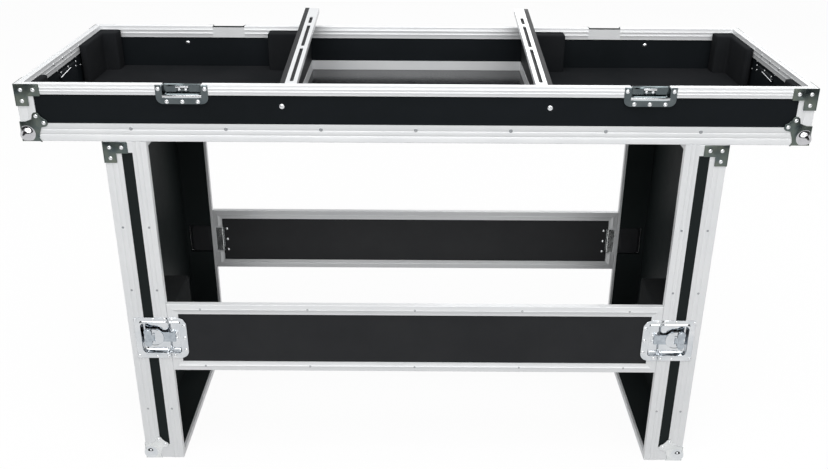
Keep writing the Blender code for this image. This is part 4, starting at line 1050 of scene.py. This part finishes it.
# the sliding hook: the slotted plate, a tongue that narrows towards the seam, and its claw
def addLatchHook(name, place):
    low, high, tip = latch["hookLow"], latch["hookHigh"], latch["tongueTip"]
    broad, narrow = latch["tongueHalf"]
    start = latch["spindleAt"] - latch["camThrow"] + latch["tongueFrom"]
    neck = start + latch["tongueTaper"]
    tongue = [(start, -broad), (neck, -narrow), (tip, -narrow), (tip, narrow), (neck, narrow), (start, broad)]
    claw = boxOutline(latch["clawFrom"], tip, -narrow, narrow)
    shapes = [hookPlate(place), plateShape(tongue, low, high, place),
              plateShape(claw, latch["clawLow"], low + 0.0002, place)]
    makePiece(f"latch_claw_{name}", shapes, finishes["zinc"], f"hook_{name}",
              [f"latch_hook_{name}"])


# the catch that a hook takes hold of: half a dish with a strap and a lip on its floor
def addCatch(name, place, out, body, finish, back, node):
    rings = pressedRings("catch", (latch["keeper"], latch["halfWidth"]), latch["keeperTurns"][body],
                         (latch["keeperPan"], latch["panHalf"]), latch["panDepth"])
    plate = makePiece(f"{name}_plate", [halfDish(rings, 1, place)], finish, body, [node])
    addSheet(plate, latch["wall"], back)
    floor = -latch["panDepth"]
    strapTop = floor + 0.0010

    def block(part, low, high, rounding=0.0003):
        near, far, half = latch[part]
        return [plateShape(boxOutline(near, far, -half, half), low, high, place, rounding)]

    makePiece(f"{name}_strap", block("strap", floor - 0.0002, strapTop), finish, body)
    lip = block("lip", floor + 0.0002, floor + 0.0045, 0.0007)
    makePiece(f"{name}_lip", lip, finishes["rivet"], body)
    # a bright bead below the tray catch's pan: painted highlight
    if body == "tray":
        makePiece(f"{name}_bead", block("bead", 0.0013, 0.0032, 0.0012), finishes["rivet"], body)
    for v in (-0.0060, 0.0060):
        addRivet(body, place(0.0122, v, strapTop), out, latch["rivetScale"])
    for u, v in latch["catchRivets"]:
        addRivet(body, place(u, v, pressed["face"]), out)


# at each end of both boards: the latch on the leg, and the catches on the board and under the rim
def makeLatches():
    for rowName, side in rowSides:
        for columnName, sideX in columnSides:
            name = f"{rowName}_{columnName}"
            out, along = (0, side, 0), (-sideX, 0, 0)
            place = placer((sideX * case["legInner"], side * halfY, latchHeight), along, out)
            turning = placer(place(latch["spindleAt"], 0, 0), along, out)
            addLatchPan(name, place, out)
            addLatchHead(name, turning, out)
            addLatchWing(name, turning, out)
            addLatchHook(name, place)
            addCatch(f"board_catch_{name}", place, out, "stand", finishes["chrome"], "paleSteel",
                     f"board_keeper_{name}")
            hung = placer((sideX * keeperX, side * halfY, trayTop), (0, 0, -1), out)
            addCatch(f"tray_catch_{name}", hung, out, "tray", finishes["darkSteel"], "laminate",
                     f"tray_keeper_{name}")


# recessed handles in the ends of the tray

handle = {
    "plate": (0.062, 0.037),
    "turns": (0.008, 0.0078),
    "pan": (0.049, 0.026),
    "depth": 0.014,
    "belowRim": 0.0585,
    "rod": 0.0035,
    "half": 0.040,
    "drop": 0.034,
    "bend": 0.010,
    "pivotV": 0.0165,
    "pivotN": -0.0055,
    "ear": (0.0438, 0.0490),
    "earRadius": 0.005,
    "rivets": ((0.0558, 0.0308), (0.0200, 0.0318)),
    "rivetScale": 0.85,
}


# a closed rectangle with rounded corners
def closedOutline(halfU, halfV, radius):
    corners = [(halfU - radius, radius - halfV, -90), (halfU - radius, halfV - radius, 0),
               (radius - halfU, halfV - radius, 90), (radius - halfU, radius - halfV, 180)]
    return np.concatenate([arcPoints((u, v), radius, start, start + 90, 7) for u, v, start in corners])


# a round rod along a path: rings at right angles to the direction at each point
def rodShape(path, radii, place, sides=14):
    path = np.asarray(path, float)
    world = place(*path.T)
    direction = np.gradient(world, axis=0)
    direction /= np.linalg.norm(direction, axis=1)[:, None]
    fixed = unit(place(0, 0, 1) - place(0, 0, 0))
    side = np.cross(direction, fixed)
    side /= np.linalg.norm(side, axis=1)[:, None]
    other = np.cross(direction, side)
    angles = np.linspace(0, 2 * np.pi, sides, endpoint=False)
    radii = np.broadcast_to(np.asarray(radii, float), (len(path),))
    ring = side[:, None] * np.cos(angles)[None, :, None] + other[:, None] * np.sin(angles)[None, :, None]
    last = (len(path) - 1) * sides
    return filled(gridShape(world[:, None] + ring * radii[:, None, None], closeColumns=True),
                  (range(sides), range(last, last + sides)))


# down from one pivot, round a bend, across, round the other bend and up to the other pivot
def bailPath():
    half, drop, bend = handle["half"], handle["drop"], handle["bend"]
    left = arcPoints((bend - half, bend - drop), bend, 180, 270, 7)
    right = arcPoints((half - bend, bend - drop), bend, 270, 360, 7)
    start = np.stack([np.full(3, -half), np.linspace(0, bend - drop, 4)[:3]], axis=1)
    across = np.stack([np.linspace(bend - half, half - bend, 8)[1:-1], np.full(6, -drop)], axis=1)
    end = np.stack([np.full(3, half), np.linspace(bend - drop, 0, 4)[1:]], axis=1)
    flat = np.concatenate([start, left, across, right, end]) + (0, handle["pivotV"])
    return np.concatenate([flat, np.full((len(flat), 1), handle["pivotN"])], axis=1)


# the grip's path along the bail's bottom, and its radius, which falls off at both ends
def gripPath():
    ends = np.array([0.0295, 0.0293, 0.0275, 0.0250])
    radii = np.array([0.0036, 0.0046, 0.0052, 0.0053])
    u = np.concatenate([-ends, ends[::-1]])
    v, n = np.full(len(u), handle["pivotV"] - handle["drop"]), np.full(len(u), handle["pivotN"])
    return np.stack([u, v, n], axis=1), np.concatenate([radii, radii[::-1]])


# in each end wall: the dish, two ears that hold the bail, the bail and its grip
def makeHandles():
    size, depth, chrome = handle, handle["depth"], finishes["chrome"]
    rings = pressedRings("handle", size["plate"], size["turns"], size["pan"], depth)
    foot = -depth + 0.0002
    earOutline = np.concatenate([arcPoints((0.0, size["pivotN"]), size["earRadius"], 0, 180, 10),
                                 [(-size["earRadius"], foot), (size["earRadius"], foot)]])
    for name, side in columnSides:
        along, across, out = (0, side, 0), (0, 0, 1), (side, 0, 0)
        place = placer((side * halfX, 0, trayTop - size["belowRim"]), along, out)
        dish = makePiece(f"handle_pan_{name}", [dishShape(rings, closedOutline, place, closed=True)], chrome,
                         "tray", [f"handle_dish_{name}"])
        addSheet(dish, latch["wall"])
        ears = []
        for end in (-1, 1):
            low, high = sorted(end * u for u in size["ear"])
            earFrame = placer(place(low, size["pivotV"], 0), across, along, out)
            ears.append(plateShape(earOutline, 0.0, high - low, earFrame, 0.0004))
            for u, v in size["rivets"]:
                for half in (1, -1):
                    addRivet("tray", place(end * u, half * v, pressed["face"]), out, size["rivetScale"])
        makePiece(f"handle_ears_{name}", ears, chrome, "tray")
        rod = rodShape(bailPath(), size["rod"], place)
        makePiece(f"handle_rod_{name}", [rod], chrome, f"bail_{name}", [f"handle_bail_{name}"])
        grip = rodShape(*gripPath(), place, 20)
        makePiece(f"handle_grip_{name}", [grip], finishes["rubber"], f"bail_{name}")


# foam: the liners of the two player bays and the block in each leg

foam = {
    "round": 0.0035,
    "corner": 0.0060,
    "mat": 0.008,
    "matRound": 0.002,
    "padRound": 0.004,
    "padCorner": 0.0070,
    "cornerSide": 0.016,
    "cornerWidth": 0.047,
    "cornerDepth": 0.040,
    "rearLength": 0.155,
    "frontLength": 0.080,
    "innerWidth": 0.084,
    "longestSide": 0.012,
    "levelRing": 0.0006,
}
floorPlan = placer((0, 0, 0), (1, 0, 0), (0, 0, 1))


# a block over any outline: quarter circles of the ease at both edges and straight walls between them
def foamBlock(outline, low, high, ease, steps=4):
    outline = densify(np.asarray(outline, float), foam["longestSide"])
    rows, heights = [], []
    for step in range(steps + 1):
        angle = math.pi / 2 * step / steps
        rows.append(insetOutline(outline, ease * (1 - math.sin(angle))))
        heights.append(low + ease * (1 - math.cos(angle)))
    for part in np.linspace(0.15, 0.85, 5):
        rows.append(outline)
        heights.append(low + ease + (high - low - 2 * ease) * part)
    for step in range(steps + 1):
        angle = math.pi / 2 * step / steps
        rows.append(insetOutline(outline, ease * (1 - math.cos(angle))))
        heights.append(high - ease * (1 - math.sin(angle)))
    # a narrow level ring keeps the rounding's shading off the wide faces
    rows = [insetOutline(rows[0], foam["levelRing"]), *rows, insetOutline(rows[-1], foam["levelRing"])]
    heights = [low, *heights, high]
    points = np.stack([floorPlan(*row.T, height) for row, height in zip(rows, heights)])
    count, last = len(outline), (len(rows) - 1) * len(outline)
    return filled(gridShape(points, closeColumns=True), (range(count)[::-1], range(last, last + count)))


# points added along each side of an outline, so that none is longer than the step
def densify(outline, step):
    parts = []
    for start, end in zip(outline, np.roll(outline, -1, axis=0)):
        count = max(1, int(np.ceil(np.linalg.norm(end - start) / step)))
        parts.append(start + (end - start) * np.linspace(0, 1, count, endpoint=False)[:, None])
    return np.concatenate(parts)


# the same outline with an arc of the radius at each corner
def roundedOutline(corners, radius):
    corners = np.asarray(corners, float)
    arcs = [roundedCorner(corners[index - 1], corner, corners[(index + 1) % len(corners)], radius)
            for index, corner in enumerate(corners)]
    return np.concatenate(arcs)


# a thin mat over a bay's floor, with corner blocks in the rear corners and one in the front outer corner
def addLiner(name, side):
    low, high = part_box(f"bay_liner_{name}")
    near, far = sorted((abs(low.x), abs(high.x)))
    x, y, inner = far - clearance, high.y - clearance, near + clearance
    width, depth, reach = foam["cornerWidth"], foam["cornerDepth"], inner + foam["innerWidth"]
    edge, rear, front = x - foam["cornerSide"], y - foam["rearLength"], foam["frontLength"] - y
    mat = np.array([(near, -high.y), (far, -high.y), (far, high.y), (near, high.y)]) * (side, 1)
    shapes = [foamBlock(mat, low.z, low.z + foam["mat"], foam["matRound"])]
    for block in (
            [(inner, y - depth), (reach, y - depth), (reach, y), (inner, y)],
            [(x - width, y - depth), (edge, y - depth), (edge, rear), (x, rear), (x, y), (x - width, y)],
            [(edge, -y), (x, -y), (x, front), (edge, front)]):
        outline = roundedOutline(np.array(block) * (side, 1), foam["corner"])
        shapes.append(foamBlock(outline, low.z + foam["mat"] / 2, high.z, foam["round"]))
    liner = makePiece(f"{name}_bay_foam", shapes, finishes["foam"], "tray", [f"bay_liner_{name}"],
                      smoothAngle=60)


# the block of foam in a leg, a rounded outline at the size of its node, in a lighter copy of the foam that is
# painted light
def addLegPad(name):
    low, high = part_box(f"{name}_leg_pad")
    outline = roundedOutline(boxOutline(low.x, high.x, low.y, high.y), foam["padCorner"])
    block = foamBlock(outline, low.z, high.z, foam["padRound"])
    pad = makePiece(f"{name}_leg_foam", [block], finishes["litPadFoam"], "stand", [f"{name}_leg_pad"],
                    smoothAngle=60)


makeLatches()
print("latches and catches pressed")
makeHandles()
print("handles pressed")
for name, side in columnSides:
    addLiner(name, side)
    addLegPad(name)
print("foam cut")


# the strips that the rack nuts run on, under the slots of the rails

nutStrip = {"half": 0.0062, "under": 0.0034, "thick": 0.003, "end": 0.006, "railDrop": 0.001}


# a flat bar under each rail, at the rail's own pitch from the rim's height at the front to its top
def makeNutStrips():
    half, under, thick, inset = nutStrip["half"], nutStrip["under"], nutStrip["thick"], nutStrip["end"]
    section = [(-half, 0.0), (half, 0.0), (half, -thick), (-half, -thick)]
    for name, _ in columnSides:
        low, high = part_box(f"rack_rail_{name}")
        middle, railFront = (low.x + high.x) / 2, trayTop - nutStrip["railDrop"]
        pitch = (high.z - railFront) / (high.y - low.y)
        start = (middle, low.y + inset, railFront - under + inset * pitch)
        end = (middle, high.y - inset, high.z - under - inset * pitch)
        strip = runShape(section, start, end, (1, 0, 0), (0, 0, 1))
        makePiece(f"nut_strip_{name}", [strip], finishes["charcoal"], "tray")


makeNutStrips()
print("nut strips laid")


# small fasteners: flush rivets along the edging, carriage bolts through the walls

fasteners = {
    "flushRadius": 0.0024,
    "flushHeight": 0.0005,
    "baseSpacing": 0.178,
    "baseAbove": 0.0255,  # above the tray's bottom
    "baseUnder": 0.018,  # from the edge of the base angle
    "baseEnds": (-0.160, 0.160),
    "rimBelow": 0.010,
    "rimOutside": (-0.070, 0.0, 0.070),
    "rimInside": (-0.074, -0.022, 0.030, 0.082),
    "boltX": 0.249,
    "boltZ": 0.808,
    "rearBoltX": 0.5285,
    "rearBoltRise": 0.002,
    # tails of the handle's rivets as (y, z, on the end wall or on the back of the dish), and the bail's pin
    "tails": ((-0.0558, 0.8215, "wall"), (-0.0420, 0.8270, "wall"), (0.0430, 0.8150, "dish"),
              (0.0400, 0.8060, "dish"), (0.0558, 0.8215, "wall"), (0.0795, 0.7980, "wall"),
              (-0.0045, 0.8160, "dish"), (-0.0470, 0.8150, "dish"), (-0.0558, 0.7600, "wall"),
              (0.0558, 0.7600, "wall")),
    "tailScale": 0.62,
    "dishBack": 0.0039,
    "pin": ((-0.055, 0.8070), (0.005, 0.8115)),
    "pinRadius": 0.0011,
    "pinOut": 0.0010,
    "legBands": (0.0165, 0.014),  # from a leg's outer and inner edges
    "legFaceZ": (0.130, 0.420, 0.560),
    "legWallZ": (0.050, 0.235, 0.415, 0.570, 0.690),
    "legEnds": (-0.140, 0.0, 0.140),
    "legInset": 0.022,
    "boardX": (-0.44, -0.22, 0.0, 0.22, 0.44),
    "boardInset": 0.011,
    "catchX": 0.0322,
    "catchV": (-0.0288, 0.0, 0.0288),
}
boltHead = {
    "radius": 0.0052,
    "height": 0.0022,
    "sides": 22,
    "profile": ((1.0, 0.0), (0.99, 0.2), (0.9, 0.52), (0.7, 0.8), (0.42, 0.95), (0.12, 1.0)),
}
flush = {"tray": [], "stand": []}


# a nearly flat rivet with a small hole in the middle
def addFlush(body, place, out, scale=1.0):
    radius, height = fasteners["flushRadius"] * scale, fasteners["flushHeight"] * scale
    profile = [(radius, -0.0002), (radius, height * 0.4), (radius * 0.85, height), (radius * 0.34, height),
               (radius * 0.28, height * 0.2), (radius * 0.1, height * 0.1)]
    flush[body].append(turnedShape(profile, place, out, 14))


# on one side of the tray: the long wall and the end wall that share its sign
def placeTrayFasteners(side):
    size, step = fasteners, stock["step"]
    baseZ, rimZ = trayBottom + size["baseAbove"], trayTop - size["rimBelow"]
    for number in range(-3, 4):
        x = number * size["baseSpacing"]
        addFlush("tray", (x, side * (halfY - step), baseZ), (0, side, 0), 1.5)
        addFlush("tray", (x, side * (halfY - step - size["baseUnder"]), trayBottom), (0, 0, -1))
    for y in size["baseEnds"]:
        addFlush("tray", (side * (halfX - step), y, baseZ), (side, 0, 0))
    for y in size["rimOutside"]:
        addFlush("tray", (side * halfX, y, rimZ), (side, 0, 0))
    for y in size["rimInside"]:
        addRivet("tray", (side * (halfX - rimWidth), y, rimZ), (-side, 0, 0), 0.8)
    wall = halfX - trayInset - stock["board"]
    backs = {"wall": wall, "dish": wall - size["dishBack"]}
    for y, z, on in size["tails"]:
        addRivet("tray", (side * backs[on], y, z), (-side, 0, 0), size["tailScale"])
    pinX = side * (backs["dish"] - size["pinOut"])
    start, end = (np.array((pinX, y, z)) for y, z in size["pin"])
    pin = [(size["pinRadius"], 0.0), (size["pinRadius"], np.linalg.norm(end - start))]
    rivets["tray"].append(turnedShape(pin, start, end - start, 12))
    outsideY = side * (halfY - trayInset)
    insideY, insideZ = side * (halfY - trayInset - stock["board"]), size["boltZ"] + size["rearBoltRise"]
    for x in (-size["boltX"], size["boltX"]):
        addRivet("tray", (x, outsideY, size["boltZ"]), (0, side, 0), head=boltHead)
    for x in (-size["rearBoltX"], size["rearBoltX"]):
        addRivet("tray", (x, insideY, insideZ), (0, -side, 0), head=boltHead)


# on one leg, and on the board between the legs that shares its sign
def placeStandFasteners(side):
    size, outer, inner = fasteners, case["legOuter"], case["legInner"]
    fromOuter, fromInner = size["legBands"]
    for sideY in (-1, 1):
        for x in (outer - fromOuter, inner + fromInner):
            for z in size["legFaceZ"]:
                addFlush("stand", (side * x, sideY * halfY, z), (0, sideY, 0))
        for z in size["legWallZ"]:
            addFlush("stand", (side * outer, sideY * (halfY - size["legInset"]), z), (side, 0, 0))
    for y in size["legEnds"]:
        addFlush("stand", (side * outer, y, case["legTop"] - size["legInset"]), (side, 0, 0))
        addFlush("stand", (side * outer, y, size["legInset"]), (side, 0, 0))
    for x in size["boardX"]:
        for z in (case["boardLow"] + size["boardInset"], case["boardHigh"] - size["boardInset"]):
            addFlush("stand", (x, side * halfY, z), (0, side, 0))
    # the tails of a catch's three rivets, inside the board
    insideY = side * (halfY - lidInset - stock["board"])
    for x in (-1, 1):
        for v in size["catchV"]:
            addRivet("stand", (x * (inner - size["catchX"]), insideY, latchHeight + v), (0, -side, 0), 0.85)


for side in (-1, 1):
    placeTrayFasteners(side)
    placeStandFasteners(side)
for bodyName in ("tray", "stand"):
    makePiece(f"{bodyName}_rivets", rivets[bodyName], finishes["rivet"], bodyName)
    # the flush rivets' dark grey is painted shade
    makePiece(f"{bodyName}_flush_rivets", flush[bodyName], finishes["shadedFlushRivet"], bodyName)
print("fasteners set:", sum(len(shapes) for shapes in (*rivets.values(), *flush.values())))


# studio

studio = {
    "cameraPlace": (0.0, -1.9278, 1.3363),
    "pitch": 25.1,
    "roll": 0.34,
    "focalPixels": 942.7,
    "imageWidth": 828,
    "centreX": 415.3,
    "sensorWidth": 36.0,
    "farthest": 60.0,
    "worldStrength": 0.46,
    "paperWhite": 0.97,  # the world where it is looked at
    "floorColour": 0.30,
    "floorGlow": 0.95,  # share of the floor's white that no shadow reaches
    "floorReach": 14.0,
    "floorDrop": 0.0005,
    "screenColour": 0.05,
    "screenRadius": 5.2,
    "screenTurn": (205, 335),
    "screenHeights": (0.0, 1.1, 2.2),
    "aim": (0.0, 0.0, 0.6),
    "lamps": {  # place, width, height, watts
        "key": ((-1.7, -3.6, 2.7), 2.2, 1.4, 23.0),
        "fill": ((1.7, -3.6, 2.5), 1.8, 1.2, 20.0),
        "low": ((0.0, -4.1, 1.6), 3.4, 0.8, 42.0),
        "top": ((0.0, -1.5, 4.0), 3.0, 1.6, 74.0),
        "rear": ((1.2, 3.4, 2.4), 2.6, 1.4, 26.0),
        "left": ((-4.0, 0.6, 1.9), 2.0, 1.4, 14.0),
        "right": ((4.0, 0.6, 1.9), 2.0, 1.4, 14.0),
    },
}
white = (1.0, 1.0, 1.0, 1.0)


# the focal length and the shift are worked out from the photo's pixels; the roll turns about the view
def makeCamera():
    lens = bpy.data.cameras.new("camera")
    lens.sensor_width = studio["sensorWidth"]
    lens.lens = studio["focalPixels"] * lens.sensor_width / studio["imageWidth"]
    lens.shift_x = -(studio["centreX"] - studio["imageWidth"] / 2) / studio["imageWidth"]
    lens.clip_end = studio["farthest"]
    camera = addObject("camera", lens)
    camera.location = studio["cameraPlace"]
    camera.rotation_mode = "QUATERNION"
    look = Euler((math.radians(90 - studio["pitch"]), 0.0, 0.0)).to_quaternion()
    camera.rotation_quaternion = look @ Euler((0.0, 0.0, math.radians(studio["roll"]))).to_quaternion()
    bpy.context.scene.camera = camera


# one where the camera, a reflection or a clear body looks straight at the studio
def seenDirectly(tree):
    path = addNode(tree, "LightPath")
    seen = path.outputs["Is Camera Ray"]
    for ray in ("Is Glossy Ray", "Is Transmission Ray"):
        seen = addNode(tree, "Math", {0: seen, 1: path.outputs[ray]}, operation="MAXIMUM").outputs[0]
    return seen


# plain paint without a highlight
def mattMaterial(name, grey, roughness):
    material, tree, surface = newMaterial(name)
    surface.inputs["Base Color"].default_value = (grey, grey, grey, 1.0)
    surface.inputs["Roughness"].default_value = roughness
    surface.inputs["Specular IOR Level"].default_value = 0.0
    return material, tree, surface


# a mesh of the studio
def addStageMesh(name, points, faces, material):
    mesh = bpy.data.meshes.new(name)
    mesh.from_pydata(points, [], faces)
    mesh.materials.append(material)
    thing = addObject(name, mesh)
    return thing


# the floor is matt; looked at directly it is white paper that still takes part of the shadow
def makeFloor():
    material, tree, surface = mattMaterial("studio_floor", studio["floorColour"], 0.9)
    glow = addNode(tree, "Emission")
    lit = addNode(tree, "BsdfDiffuse", {"Color": white})
    paper = addNode(tree, "MixShader", {0: studio["floorGlow"], 1: lit.outputs[0], 2: glow.outputs[0]})
    chosen = addNode(tree, "MixShader", {0: seenDirectly(tree), 1: surface.outputs[0], 2: paper.outputs[0]})
    tree.links.new(chosen.outputs[0], tree.nodes["Material Output"].inputs[0])
    reach = studio["floorReach"]
    corners = [(-reach, -reach, 0), (reach, -reach, 0), (reach, reach, 0), (-reach, reach, 0)]
    floor = addStageMesh("floor", corners, [(0, 1, 2, 3)], material)
    floor.location.z = -studio["floorDrop"]


# a dark curved screen behind the camera, for bright metal to show: an arc raised to three heights
def makeScreen():
    material, *_ = mattMaterial("dark_screen", studio["screenColour"], 1.0)
    ring = arcPoints((0.0, 0.0), studio["screenRadius"], *studio["screenTurn"], 26)
    heights = studio["screenHeights"]
    points = np.stack([np.column_stack([ring, np.full(len(ring), height)]) for height in heights])
    points, faces, _ = gridShape(points)
    screen = addStageMesh("screen", points.tolist(), faces, material)
    screen.visible_camera = False


# the world lights the scene softly, and is plain white paper where it is looked at; the lamps are areas
def makeLights():
    world = bpy.data.worlds.new("studio")
    bpy.context.scene.world = world
    world.use_nodes = True
    tree = world.node_tree
    soft = tree.nodes["Background"]
    soft.inputs["Color"].default_value = white
    soft.inputs["Strength"].default_value = studio["worldStrength"]
    paper = addNode(tree, "Background", {"Color": white, "Strength": studio["paperWhite"]})
    mixer = addNode(tree, "MixShader", {0: seenDirectly(tree), 1: soft.outputs[0], 2: paper.outputs[0]})
    tree.links.new(mixer.outputs[0], tree.nodes["World Output"].inputs[0])
    for name, (place, width, height, watts) in studio["lamps"].items():
        light = bpy.data.lights.new(name, "AREA")
        light.shape = "RECTANGLE"
        light.size = width
        light.size_y = height
        light.energy = watts
        lamp = addObject(name, light)
        lamp.location = place
        lamp.rotation_mode = "QUATERNION"
        lamp.rotation_quaternion = (Vector(studio["aim"]) - Vector(place)).to_track_quat("-Z", "Y")
    bpy.context.scene.view_settings.view_transform = "Standard"


makeCamera()
makeFloor()
makeScreen()
makeLights()
print("studio lit")
